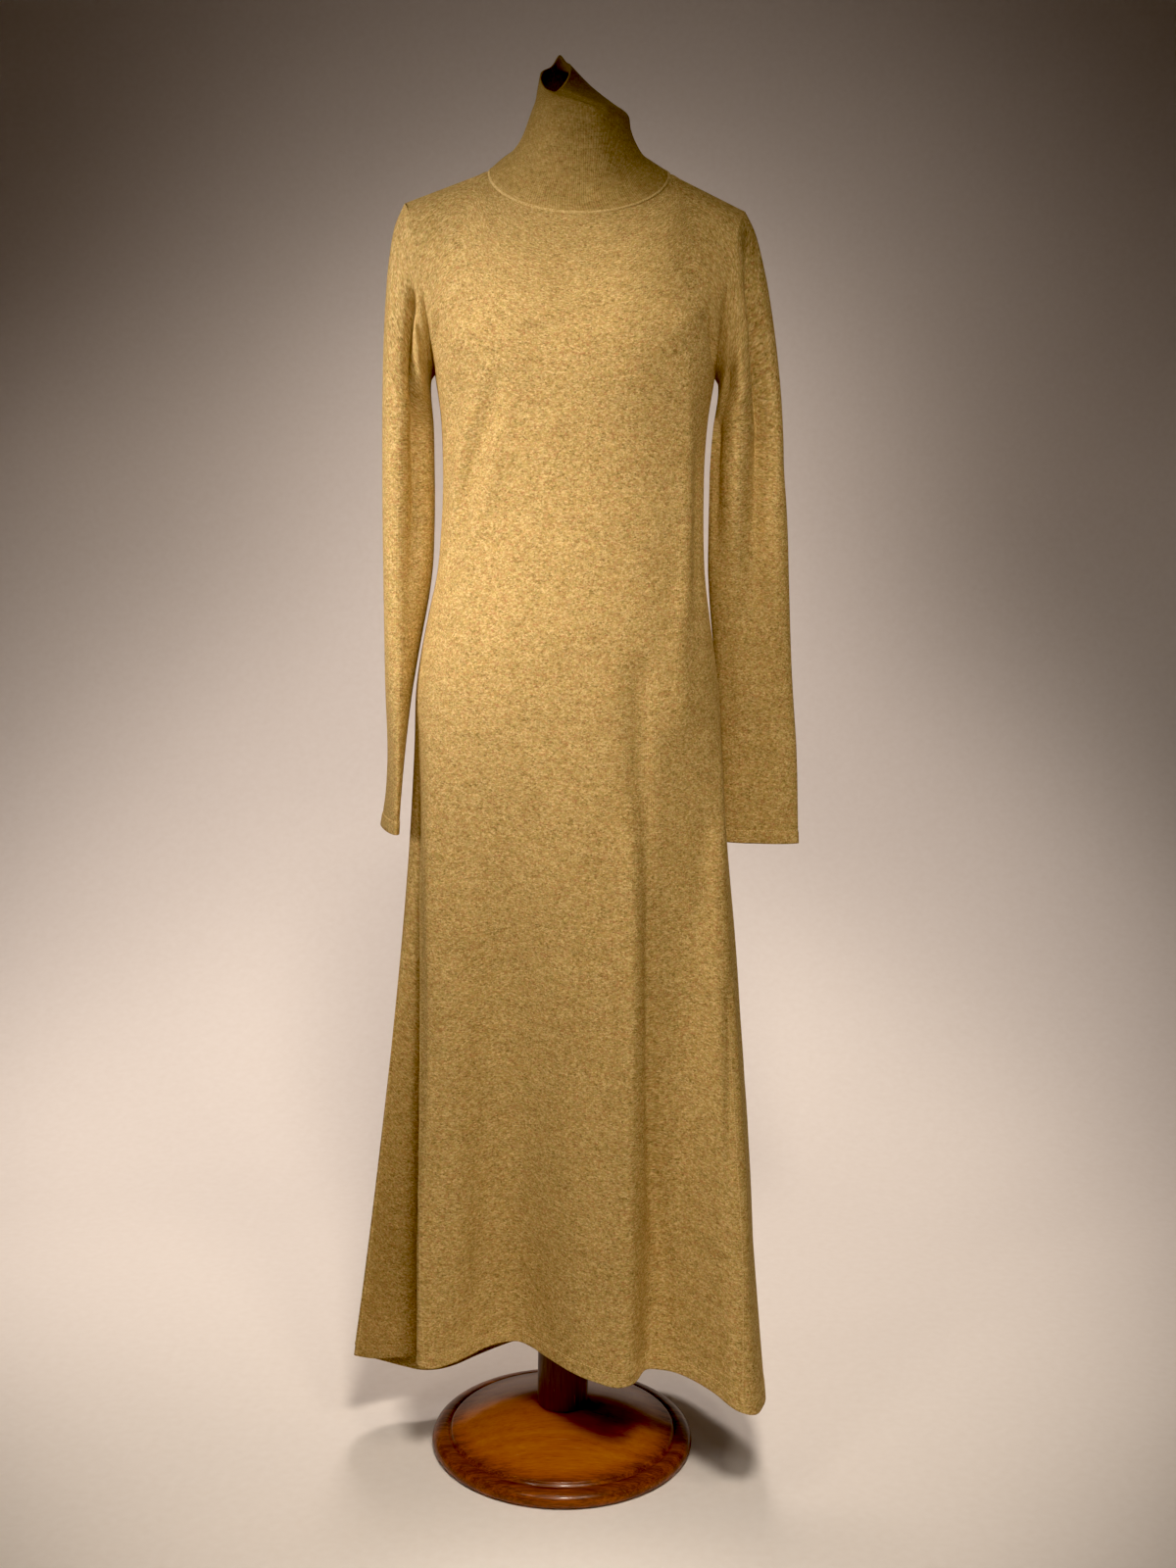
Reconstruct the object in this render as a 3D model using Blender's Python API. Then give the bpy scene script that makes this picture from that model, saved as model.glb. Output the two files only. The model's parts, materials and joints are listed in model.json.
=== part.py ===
"""Long-sleeved A-line sweater dress with a tall collar, hung on a limbless dress form.

Metres, +Z up. The origin is the middle of the foot's underside, on the floor. +X is the
wearer's left, and the dress faces -Y. The dress is a knitted wall of five pieces: front,
back, two sleeves and collar. Each piece is a grid of points on the outside of the cloth,
and the wall is that grid and a copy of it moved in by the cloth's thickness.
"""

import math

import bpy
import numpy as np

# ---- Driving dimensions, in metres ----
WALL = 0.0020  # the knit, with its nap
SEAM_GAP = 0.0003  # between two pieces at a seam
GORES = 28  # strips across the front, and across the back
SKIRT_ROWS = 13  # from the hip down to the hem
TORSO_ROWS = 9  # from the hip up to the underarm
YOKE_ROWS = 8  # from the underarm up to the shoulder and neck
SETTLED_ROWS = 3  # rows below the underarm that are evened out with the yoke
SETTLED_GORES = (1.8, 6.3)  # gores from an armhole where evening out starts, and is full
SETTLING = 6  # times that it is evened out
SETTLING_STEP = 0.5  # of the way to the mean of the points beside, each time
SLEEVE_ROWS = 12  # below the sleeve's head
HEAD_ROWS = 6  # the sleeve's head, from the armhole down to its first section
HIP_HEIGHT = 0.900
UNDERARM_HEIGHT = 1.242
ROUNDNESS = 2.2  # 2 is an ellipse, and more is squarer

# The side seams turn a little round the figure below the underarm, in degrees from the
# front's middle towards the wearer's left.
SEAMS_AT_UNDERARM = (-90.0, 90.0)
SEAMS_AT_HIP = (-95.0, 82.0)

# Sections of the bodice: height, then how far it reaches to each side.
BODICE = [
    # height  right    left   front   back
    (0.900, -0.1736, 0.1642, 0.110, 0.116),
    (0.965, -0.1639, 0.1546, 0.107, 0.114),
    (1.020, -0.1516, 0.1462, 0.102, 0.102),
    (1.065, -0.1470, 0.1432, 0.099, 0.091),
    (1.110, -0.1446, 0.1421, 0.099, 0.083),
    (1.150, -0.1447, 0.1419, 0.103, 0.081),
    (1.190, -0.1462, 0.1438, 0.110, 0.085),
    (1.242, -0.1535, 0.1507, 0.119, 0.094),
]

# The hem seen from above, a row for each fold and hollow. gore counts the panel's strips
# from its first seam, and late is how far down the fold waits before it opens.
FRONT_HEM = [
    # gore     x       y      height  late      what it is
    (0.0, -0.244, -0.020, 0.114, 0.45),  # right side seam, a wing that stands out
    (1.0, -0.223, 0.006, 0.098, 0.45),
    (2.0, -0.187, 0.034, 0.087, 0.40),
    (3.0, -0.158, 0.046, 0.084, 0.30),  # the hollow behind the first fold
    (4.0, -0.158, -0.068, 0.135, 0.30),
    (5.0, -0.159, -0.111, 0.147, 0.25),  # first fold's edge
    (6.0, -0.144, -0.111, 0.145, 0.25),
    (7.5, -0.116, -0.090, 0.145, 0.35),
    (9.0, -0.090, -0.071, 0.151, 0.45),
    (11.0, -0.051, -0.063, 0.156, 0.50),  # the broad hollow of the front
    (13.0, -0.020, -0.089, 0.152, 0.50),
    (15.0, 0.010, -0.119, 0.148, 0.45),
    (17.0, 0.041, -0.137, 0.144, 0.40),
    (19.0, 0.067, -0.146, 0.144, 0.35),
    (20.0, 0.081, -0.136, 0.145, 0.30),  # second fold's edge
    (21.0, 0.093, -0.112, 0.148, 0.45),  # the narrow hollow beside it
    (22.0, 0.111, -0.111, 0.148, 0.45),
    (23.5, 0.138, -0.126, 0.148, 0.35),
    (25.0, 0.169, -0.155, 0.143, 0.25),
    (26.5, 0.201, -0.176, 0.130, 0.20),  # third fold, at the left side
    (27.3, 0.218, -0.163, 0.126, 0.15),
    (28.0, 0.226, -0.138, 0.126, 0.15),  # left side seam
]
BACK_HEM = [
    # gore     x       y      height  late
    (0.0, 0.226, -0.138, 0.126, 0.15),  # left side seam
    (1.0, 0.230, -0.080, 0.116, 0.20),
    (2.5, 0.225, -0.010, 0.105, 0.25),
    (4.0, 0.206, 0.040, 0.097, 0.40),
    (6.0, 0.180, 0.078, 0.087, 0.45),  # hollow
    (8.0, 0.152, 0.117, 0.077, 0.35),
    (10.0, 0.115, 0.141, 0.070, 0.30),  # fold
    (11.5, 0.082, 0.132, 0.068, 0.40),
    (13.5, 0.043, 0.119, 0.067, 0.45),  # hollow
    (15.5, 0.001, 0.137, 0.064, 0.35),
    (17.5, -0.041, 0.144, 0.062, 0.30),  # fold
    (19.5, -0.079, 0.117, 0.063, 0.40),
    (21.0, -0.112, 0.092, 0.060, 0.45),
    (22.5, -0.142, 0.069, 0.057, 0.45),  # hollow
    (24.0, -0.172, 0.055, 0.060, 0.45),
    (25.5, -0.204, 0.051, 0.069, 0.45),
    (27.0, -0.238, 0.020, 0.094, 0.45),
    (28.0, -0.244, -0.020, 0.114, 0.45),  # right side seam
]

# Shoulders and neck seam. The bust is a low mound on each side of the front.
SHOULDER_TIPS = ((-0.1865, 1.4215), (0.179, 1.4180))  # x and height, right then left
SHOULDER_SHARE = 0.25  # of a panel's width that each shoulder seam takes
NECK_MIDDLE = 0.0004
NECK_HALF_WIDTH = 0.098
NECK_HEIGHT = 1.4555  # at the shoulder
NECK_FRONT = (0.075, 0.0535)  # how far forward of the shoulder, and how far below it
NECK_BACK = (0.055, -0.0225)
BUST_SIDE, BUST_HEIGHT, BUST_REACH, BUST_SPREAD = 0.073, 1.274, 0.008, 0.045
BUST_FADE = 0.30  # share of the way from a side seam in which a mound rises

# How the yoke leaves the underarm's section and how it arrives at the shoulder or neck:
# out to the side, forward, and up. share is the way from the armhole to the middle.
YOKE_PULLS = [
    # share   leaves: out, forward, up       arrives: out, forward, up
    (0.00, (0.000, 0.200, 0.060), (0.050, -0.215, 0.060)),
    (0.08, (0.000, 0.160, 0.070), (0.035, -0.205, 0.050)),
    (0.20, (0.000, 0.110, 0.140), (0.020, -0.195, 0.040)),
    (0.50, (0.000, 0.040, 0.200), (-0.120, -0.150, 0.050)),
    (1.00, (0.000, 0.025, 0.170), (0.000, -0.060, 0.140)),
]

# Sleeve sections, top to cuff: across is the half width sideways, along the half width
# front to back, and turn the degrees that the section is twisted seen from above.
SLEEVE_RIGHT = [
    # height    x       y     across   along   turn
    (1.186, -0.1831, 0.000, 0.0280, 0.0390, 0.0),
    (1.100, -0.1826, 0.001, 0.0287, 0.0370, 0.0),
    (1.019, -0.1840, 0.002, 0.0265, 0.0380, 0.0),
    (0.964, -0.1885, 0.003, 0.0215, 0.0400, 3.0),
    (0.899, -0.1937, 0.003, 0.0155, 0.0420, 6.0),
    (0.839, -0.1964, 0.002, 0.0105, 0.0430, 9.0),
    (0.784, -0.1996, 0.001, 0.0075, 0.0430, 12.0),
    (0.739, -0.2044, 0.002, 0.0070, 0.0430, 16.0),
]
SLEEVE_LEFT = [
    # height    x       y     across   along   turn
    (1.186, 0.1887, 0.000, 0.0385, 0.0320, 0.0),
    (1.140, 0.1890, 0.002, 0.0410, 0.0300, 0.0),
    (1.100, 0.1914, 0.006, 0.0430, 0.0280, 2.0),
    (1.020, 0.1956, 0.018, 0.0450, 0.0240, 4.0),
    (0.960, 0.2014, 0.030, 0.0440, 0.0210, 5.0),
    (0.901, 0.2076, 0.038, 0.0430, 0.0180, 5.0),
    (0.841, 0.2139, 0.042, 0.0430, 0.0150, 4.0),
    (0.722, 0.2204, 0.043, 0.0430, 0.0110, 2.0),
]
# How strongly the sleeve's head leaves the armhole outwards and down, and how strongly it
# arrives, hanging, at its first section: at the underarm, then at the shoulder.
SLEEVE_HEAD_OUT = (0.030, 0.070)
SLEEVE_HEAD_DOWN = (0.020, 0.070)
SLEEVE_HANG = (0.051, 0.170)

# Collar sections, from just above the neck seam to the rim: the x and height of each side,
# and the y and height of front and back. It stands on the form's neck, and above that it
# sinks over to the wearer's right, so that its mouth is narrow and leans.
COLLAR = [
    # right: x, height   left: x, height     front: y, height    back: y, height
    (-0.0859, 1.4641, 0.0825, 1.4675, -0.0670, 1.4177, 0.0500, 1.4830),
    (-0.0721, 1.4754, 0.0709, 1.4738, -0.0590, 1.4408, 0.0500, 1.4920),
    (-0.0619, 1.4903, 0.0602, 1.4877, -0.0530, 1.4679, 0.0490, 1.5023),
    (-0.0553, 1.5068, 0.0546, 1.5016, -0.0495, 1.4948, 0.0490, 1.5136),
    (-0.0513, 1.5181, 0.0510, 1.5161, -0.0470, 1.5146, 0.0480, 1.5249),
    (-0.0477, 1.5274, 0.0352, 1.5274, -0.0465, 1.5208, 0.0470, 1.5393),
    (-0.0457, 1.5388, 0.0116, 1.5440, -0.0460, 1.5249, 0.0450, 1.5567),
    (-0.0430, 1.5540, -0.0100, 1.5630, -0.0450, 1.5285, 0.0400, 1.5730),
]
NECK_TOP_SECTION = 4  # the last section that the form's neck fills
RIM_EAR = (258.0, 22.0, 0.011)  # turn from the right by way of the front, spread, height

# The form: how far its padding stays inside the cloth at each height.
FORM_CLEARANCE = [
    # height  clearance
    (0.900, 0.0070),
    (1.020, 0.0070),
    (1.150, 0.0060),
    (1.250, 0.0030),
    (1.350, 0.0015),
    (1.400, 0.0007),
    (1.440, 0.0005),
    (1.480, 0.0008),
    (1.560, 0.0008),
]
FORM_BOTTOM = 0.860
FORM_TAPER = 0.985
ARM_PLATE_SINK = 0.004

COLUMN_RADIUS = 0.0298
COLUMN_SIDES = 32
FOOT_SIDES = 56
FOOT_SEAT = 0.0505  # height of the flat on which the column stands
# The foot's turned profile from its underside to that flat: radius and height.
FOOT_PROFILE = [
    (0.1480, 0.0000),
    (0.1525, 0.0030),
    (0.1540, 0.0080),
    (0.1525, 0.0135),
    (0.1480, 0.0175),
    (0.1420, 0.0192),
    (0.1365, 0.0190),
    (0.1347, 0.0178),  # the groove
    (0.1330, 0.0195),
    (0.1310, 0.0222),
    (0.1280, 0.0232),  # the fine bead
    (0.1180, 0.0258),
    (0.0980, 0.0325),
    (0.0740, 0.0400),
    (0.0500, 0.0465),
    (0.0330, FOOT_SEAT),
]


# ---- Curves through tables ----
def column(table, index):
    return np.array([row[index] for row in table], float)


def through(knots, values, at):
    """A smooth curve through the values at these knots, read at each place in at."""
    knots, values = np.asarray(knots, float), np.asarray(values, float)
    at = np.clip(np.asarray(at, float), knots[0], knots[-1])
    step, rise = np.diff(knots), np.diff(values)
    slope = rise / step
    inner = (slope[:-1] * step[1:] + slope[1:] * step[:-1]) / (step[:-1] + step[1:])
    pull = np.concatenate([slope[:1], inner, slope[-1:]])
    left = np.clip(np.searchsorted(knots, at, side="right") - 1, 0, len(step) - 1)
    t = (at - knots[left]) / step[left]
    start, end = values[left], values[left + 1]
    pull_start, pull_end = pull[left] * step[left], pull[left + 1] * step[left]
    return hermite(start, end, pull_start, pull_end, t)


def hermite(start, end, pull_start, pull_end, t):
    """The curve from start to end that leaves and arrives with these pulls."""
    return (
        start * (2 * t**3 - 3 * t**2 + 1)
        + pull_start * (t**3 - 2 * t**2 + t)
        + end * (3 * t**2 - 2 * t**3)
        + pull_end * (t**3 - t**2)
    )


# ---- The body of the dress ----
def section(height, turn):
    """Points of the bodice at these heights and turns, in degrees from the front's middle."""
    right, left, front, back = (
        through(column(BODICE, 0), column(BODICE, i), height) for i in (1, 2, 3, 4)
    )
    side, fore = np.sin(np.radians(turn)), np.cos(np.radians(turn))
    power = 2 / ROUNDNESS
    x = (left + right) / 2 + (left - right) / 2 * np.sign(side) * abs(side) ** power
    y = np.where(fore > 0, -front, back) * abs(fore) ** power
    return np.stack(np.broadcast_arrays(x, y, height), axis=-1)


def bust(points, share):
    """Moves the front's points out over the bust, and leaves its seams where they are."""
    away = np.zeros(points.shape[:-1])
    for side in (-BUST_SIDE, BUST_SIDE):
        across, up = points[..., 0] - side, points[..., 2] - BUST_HEIGHT
        away += np.exp(-(across**2 + up**2) / (2 * BUST_SPREAD**2))
    inward = np.clip((1 - abs(2 * share - 1)) / BUST_FADE, 0, 1)
    points[:-1, :, 1] -= (BUST_REACH * away * inward**2 * (3 - 2 * inward))[:-1]
    return points


def seam_turns(share, at_seams, is_back):
    """The turn of each gore line, for a panel that starts at share 0 and ends at 1."""
    right, left = at_seams
    if is_back:
        return left + share * (360 + right - left)
    return right + share * (left - right)


def skirt(share, hem, is_back):
    """The rows from the hem up to just below the hip."""
    hip = section(
        np.full_like(share, HIP_HEIGHT), seam_turns(share, SEAMS_AT_HIP, is_back)
    )
    gores = share * GORES
    edge = np.stack(
        [through(column(hem, 0), column(hem, i), gores) for i in (1, 2, 3)], axis=-1
    )
    late = through(column(hem, 0), column(hem, 4), gores)
    rows = []
    for down in np.linspace(1, 0, SKIRT_ROWS, endpoint=False):
        opened = ((1 - late) * down + late * down**2)[:, None]
        row = hip + (edge - hip) * opened
        row[:, 2] = HIP_HEIGHT + (edge[:, 2] - HIP_HEIGHT) * down
        rows.append(row)
    return rows


def bodice(share, is_back):
    """The rows from the hip up to the underarm."""
    rows = []
    for up in np.linspace(0, 1, TORSO_ROWS):
        seams = [
            low + (high - low) * up
            for low, high in zip(SEAMS_AT_HIP, SEAMS_AT_UNDERARM)
        ]
        height = HIP_HEIGHT + (UNDERARM_HEIGHT - HIP_HEIGHT) * up
        turn = seam_turns(share, seams, is_back)
        rows.append(section(np.full_like(share, height), turn))
    return rows


def top_edge(share, is_back):
    """The shoulder seams and, between them, this panel's half of the neck seam."""
    forward, drop = NECK_BACK if is_back else NECK_FRONT
    facing = 1 if is_back else -1
    from_right = 1 - share if is_back else share
    neck_share = 1 - 2 * SHOULDER_SHARE
    neck_turn = np.radians(np.clip((from_right - SHOULDER_SHARE) / neck_share, 0, 1) * 180 - 90)
    x = NECK_MIDDLE + NECK_HALF_WIDTH * np.sin(neck_turn)
    y = facing * forward * np.cos(neck_turn)
    height = NECK_HEIGHT - drop * np.cos(neck_turn)
    for (tip_x, tip_height), outward in (
        (SHOULDER_TIPS[0], 1 - from_right / SHOULDER_SHARE),
        (SHOULDER_TIPS[1], 1 - (1 - from_right) / SHOULDER_SHARE),
    ):
        outward = np.clip(outward, 0, 1)
        x = x + (tip_x - x) * outward
        height = height + (tip_height - height) * outward
    return np.stack([x, y, height], axis=-1)


def yoke(share, is_back):
    """The rows above the underarm, up to the shoulder and neck seams."""
    low = section(
        np.full_like(share, UNDERARM_HEIGHT),
        seam_turns(share, SEAMS_AT_UNDERARM, is_back),
    )
    high = top_edge(share, is_back)
    inward = 1 - abs(2 * share - 1)
    sideways = np.sign(share - 0.5) * (-1 if is_back else 1)
    facing = 1 if is_back else -1
    pulls = []
    for moment in (1, 2):
        out, fore, up = (
            through(column(YOKE_PULLS, 0), [row[moment][i] for row in YOKE_PULLS], inward)
            for i in range(3)
        )
        pulls.append(np.stack([out * sideways, fore * facing, up], axis=-1))
    steps = np.linspace(0, 1, YOKE_ROWS + 1)[1:]
    return [hermite(low, high, pulls[0], pulls[1], t) for t in steps]


def panel(hem, is_back):
    """The whole front or back: a row for each height, a column for each gore line."""
    share = np.linspace(0, 1, GORES + 1)
    rows = skirt(share, hem, is_back) + bodice(share, is_back) + yoke(share, is_back)
    points = np.array(rows)
    settle(points[SKIRT_ROWS + TORSO_ROWS - SETTLED_ROWS :])
    return points if is_back else bust(points, share)


def settle(points):
    """Evens out a panel's rows, in place, as cloth does. Its edges and armholes stay."""
    start, full = SETTLED_GORES
    gore = np.arange(1, GORES)
    free = np.clip((np.minimum(gore, GORES - gore) - start) / (full - start), 0, 1)
    step = SETTLING_STEP * free[:, None]
    for _ in range(SETTLING):
        beside = points[1:-1, :-2] + points[1:-1, 2:] + points[:-2, 1:-1] + points[2:, 1:-1]
        points[1:-1, 1:-1] += (beside / 4 - points[1:-1, 1:-1]) * step


# ---- Sleeves and collar ----
def armhole(front, back, is_left):
    """The ring of points that a sleeve is sewn to, from the underarm by way of the front
    on the wearer's right, and by way of the back on the left."""
    first = SKIRT_ROWS + TORSO_ROWS - 1
    if is_left:
        up, down = back[first:, 0], front[first:, -1]
    else:
        up, down = front[first:, 0], back[first:, -1]
    return np.concatenate([up, down[-2::-1]])


def sleeve(ring, table, is_left):
    """The sleeve's rings from the armhole down to the cuff."""
    side = 1 if is_left else -1
    around = np.linspace(0, 2 * math.pi, len(ring))
    heights = np.linspace(table[0][0], table[-1][0], SLEEVE_ROWS + 1)
    knots = -column(table, 0)
    rings = []
    for height in heights:
        x, y, across, along, turn = (
            float(through(knots, column(table, i), -height)) for i in range(1, 6)
        )
        aside = -side * across * np.cos(around)
        fore = side * along * np.sin(around)
        twist = math.radians(turn) * side * -1
        rings.append(
            np.stack(
                [
                    x + aside * math.cos(twist) - fore * math.sin(twist),
                    y + aside * math.sin(twist) + fore * math.cos(twist),
                    np.full_like(around, height),
                ],
                axis=-1,
            )
        )
    raised = ((ring[:, 2] - ring[0, 2]) / np.ptp(ring[:, 2]))[:, None]
    out, down, hang = (
        low + (high - low) * raised
        for low, high in (SLEEVE_HEAD_OUT, SLEEVE_HEAD_DOWN, SLEEVE_HANG)
    )
    leave = np.concatenate([side * out, 0 * raised, -down], axis=1)
    arrive = unit(rings[1] - rings[0]) * hang
    head = [
        hermite(ring, rings[0], leave, arrive, t)
        for t in np.linspace(0, 1, HEAD_ROWS, endpoint=False)
    ]
    return np.array(head + rings)


def collar(front, back):
    """The collar's rings from the neck seam up to its rim, starting at the wearer's right."""
    first = round(GORES * SHOULDER_SHARE)
    last = GORES - first + 1
    seam = np.concatenate([front[-1, first:last], back[-1, first + 1 : last]])
    around = np.linspace(0, 2 * math.pi, len(seam))
    side, fore = -np.cos(around), np.sin(around)
    rings = [seam]
    for right_x, right_z, left_x, left_z, front_y, front_z, back_y, back_z in COLLAR:
        x = (right_x + left_x) / 2 + (left_x - right_x) / 2 * side
        y = np.where(fore > 0, front_y, -back_y) * fore
        height = (right_z + left_z + front_z + back_z) / 4
        height = height + (left_z - right_z) / 2 * side + (front_z - back_z) / 2 * fore
        height = height + (right_z + left_z - front_z - back_z) / 4 * np.cos(2 * around)
        rings.append(np.stack([x, y, height], axis=-1))
    at, spread, lift = RIM_EAR
    rings[-1][:, 2] += lift * np.exp(-(((np.degrees(around) - at) / spread) ** 2))
    return np.array(rings)


# ---- From grids of points to walls ----
def shared_normals(grids):
    """The way out at each point, averaged by angle over all the triangles that meet there."""
    sizes = [grid.shape[0] * grid.shape[1] for grid in grids]
    points = np.concatenate([grid.reshape(-1, 3) for grid in grids])
    _, same = np.unique(np.round(points, 6), axis=0, return_inverse=True)
    same = same.reshape(-1)
    total = np.zeros((same.max() + 1, 3))
    start = 0
    for grid, size in zip(grids, sizes):
        faces = np.array(grid_triangles(grid.shape[0], grid.shape[1])) + start
        for corner in range(3):
            a, b, c = (points[faces[:, (corner + i) % 3]] for i in range(3))
            cosine = (unit(b - a) * unit(c - a)).sum(axis=1)
            angle = np.arccos(np.clip(cosine, -1, 1))[:, None]
            np.add.at(total, same[faces[:, corner]], unit(np.cross(b - a, c - a)) * angle)
        start += size
    normals = unit(total[same])
    return [
        part.reshape(grid.shape)
        for part, grid in zip(np.split(normals, np.cumsum(sizes)[:-1]), grids)
    ]


def grid_triangles(rows, columns, start=0, wrap=False):
    """Two triangles for each square of a grid. A wrapped grid's last column is its first."""
    faces = []
    for row in range(rows - 1):
        for left in range(columns if wrap else columns - 1):
            right = (left + 1) % columns
            a, b = start + row * columns + left, start + row * columns + right
            c, d = b + columns, a + columns
            faces += [(a, b, c), (a, c, d)]
    return faces


def pulled_in(grid, edges):
    """The grid with its sewn edges moved in, square to the edge, by half a seam's gap."""
    out = grid.copy()
    for edge in edges:
        at, beside = {
            "first row": (np.s_[0, :], np.s_[1, :]),
            "last row": (np.s_[-1, :], np.s_[-2, :]),
            "first column": (np.s_[:, 0], np.s_[:, 1]),
            "last column": (np.s_[:, -1], np.s_[:, -2]),
        }[edge]
        along = unit(np.gradient(grid[at], axis=0))
        way = grid[beside] - grid[at]
        way = unit(way - along * (way * along).sum(axis=1)[:, None])
        out[at] += way * SEAM_GAP / 2
    return out


def unit(vectors):
    return vectors / np.linalg.norm(vectors, axis=-1)[..., None]


def add_mesh(name, points, faces, material):
    mesh = bpy.data.meshes.new(name)
    mesh.from_pydata([tuple(p) for p in points], [], faces)
    mesh.validate()
    mesh.shade_smooth()
    mesh.set_sharp_from_angle(angle=math.radians(40))
    mesh.materials.append(material)
    piece = bpy.data.objects.new(name, mesh)
    bpy.context.scene.collection.objects.link(piece)
    return piece


def add_wall(name, grid, normals, sewn_edges, material, is_tube=False):
    """A closed wall: the grid outside, its copy inside, and a strip round each edge."""
    outside = pulled_in(grid, sewn_edges)
    inside = outside - normals * WALL
    if is_tube:
        outside, inside = outside[:, :-1], inside[:, :-1]
    rows, columns = outside.shape[:2]
    count = rows * columns
    faces = grid_triangles(rows, columns, 0, is_tube)
    faces += [face[::-1] for face in grid_triangles(rows, columns, count, is_tube)]
    index = np.arange(count).reshape(rows, columns)
    if is_tube:
        edges = [np.append(index[0], index[0, 0])[::-1], np.append(index[-1], index[-1, 0])]
    else:
        loop = [index[0, :], index[1:, -1], index[-1, -2::-1], index[-2::-1, 0]]
        edges = [np.concatenate(loop)[::-1]]
    for edge in edges:
        for a, b in zip(edge[:-1].tolist(), edge[1:].tolist()):
            faces += [(a, b, b + count), (a, b + count, a + count)]
    points = np.concatenate([outside.reshape(-1, 3), inside.reshape(-1, 3)])
    return add_mesh(name, points, faces, material)


# ---- The dress form ----
def add_form(front, back, neck, normals, material):
    """The padded torso, from its flat bottom to the top of its neck, inside the cloth."""
    front_out, back_out, neck_out = normals
    first = SKIRT_ROWS
    grids = [
        (front[first:], front_out[first:]),
        (back[first:], back_out[first:]),
        (neck[: NECK_TOP_SECTION + 2], neck_out[: NECK_TOP_SECTION + 2]),
    ]
    points, faces = [], []
    for grid, out in grids:
        clearance = through(
            column(FORM_CLEARANCE, 0), column(FORM_CLEARANCE, 1), grid[..., 2]
        )
        inset = grid - out * (WALL + clearance)[..., None]
        faces += grid_triangles(grid.shape[0], grid.shape[1], len(points))
        points += [tuple(p) for p in inset.reshape(-1, 3)]

    def cap(ring, middle):
        """Closes a ring with a fan of triangles to its middle."""
        start = len(points)
        points.extend(tuple(p) for p in ring)
        points.append(tuple(middle))
        count = len(ring)
        faces.extend(
            (start + (i + 1) % count, start + i, start + count) for i in range(count)
        )

    columns = GORES + 1
    front_points = np.array(points[: len(front[first:]) * columns]).reshape(-1, columns, 3)
    back_points = np.array(
        points[len(front_points) * columns : 2 * len(front_points) * columns]
    ).reshape(-1, columns, 3)
    neck_points = np.array(points[2 * len(front_points) * columns :]).reshape(
        -1, neck.shape[1], 3
    )
    top = neck_points[-1, :-1]
    cap(top[::-1], top.mean(axis=0))
    above_underarm = TORSO_ROWS - 1
    for up, down, side in (
        (front_points[above_underarm:, 0], back_points[above_underarm:, -1], 1),
        (back_points[above_underarm:, 0], front_points[above_underarm:, -1], -1),
    ):
        ring = np.concatenate([up, down[-2:0:-1]])
        middle = ring.mean(axis=0) + np.array([side * ARM_PLATE_SINK, 0, 0])
        cap(ring[::-1], middle)
    hip = np.concatenate([front_points[0, :-1], back_points[0, :-1]])
    centre = hip.mean(axis=0)
    bottom = centre + (hip - centre) * FORM_TAPER
    bottom[:, 2] = FORM_BOTTOM
    start, count = len(points), len(hip)
    points.extend(tuple(p) for p in np.concatenate([bottom, hip]))
    faces.extend(grid_triangles(2, count, start, True))
    cap(bottom, (centre[0], centre[1], FORM_BOTTOM))

    joined, same = np.unique(np.round(np.array(points), 7), axis=0, return_inverse=True)
    same = same.reshape(-1)
    welded = [tuple(int(same[i]) for i in face) for face in faces]
    return add_mesh("form_torso", joined, welded, material)


def add_turned(name, profile, sides, material):
    """A turned solid from its profile, bottom to top, closed flat at both ends."""
    turns = np.linspace(0, 2 * math.pi, sides, endpoint=False)
    points = [
        (radius * math.cos(turn), radius * math.sin(turn), height)
        for radius, height in profile
        for turn in turns
    ]
    faces = grid_triangles(len(profile), sides, 0, True)
    low, high = len(points), len(points) + 1
    points += [(0, 0, profile[0][1]), (0, 0, profile[-1][1])]
    last = (len(profile) - 1) * sides
    for i in range(sides):
        j = (i + 1) % sides
        faces += [(j, i, low), (last + i, last + j, high)]
    return add_mesh(name, points, faces, material)


def add_material(name, colour, roughness):
    material = bpy.data.materials.new(name)
    material.use_nodes = True
    shader = material.node_tree.nodes["Principled BSDF"]
    shader.inputs["Base Color"].default_value = (*colour, 1)
    shader.inputs["Roughness"].default_value = roughness
    shader.inputs["Metallic"].default_value = 0
    return material


# ---- Build ----
for old in list(bpy.data.objects):
    bpy.data.objects.remove(old)

knit = add_material("marled knit", (0.36, 0.24, 0.09), 0.9)
linen = add_material("form linen", (0.62, 0.56, 0.46), 0.8)
foot_wood = add_material("varnished foot", (0.22, 0.07, 0.02), 0.2)
column_wood = add_material("varnished column", (0.12, 0.04, 0.02), 0.3)

front = panel(FRONT_HEM, is_back=False)
back = panel(BACK_HEM, is_back=True)
sleeve_right = sleeve(armhole(front, back, False), SLEEVE_RIGHT, is_left=False)
sleeve_left = sleeve(armhole(front, back, True), SLEEVE_LEFT, is_left=True)
neck = collar(front, back)

normals = shared_normals([front, back, sleeve_right, sleeve_left, neck])
sewn = ["first column", "last column", "last row"]
add_wall("dress_front", front, normals[0], sewn, knit)
add_wall("dress_back", back, normals[1], sewn, knit)
add_wall("sleeve_right", sleeve_right, normals[2], ["first row"], knit, is_tube=True)
add_wall("sleeve_left", sleeve_left, normals[3], ["first row"], knit, is_tube=True)
add_wall("collar", neck, normals[4], ["first row"], knit, is_tube=True)

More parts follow.
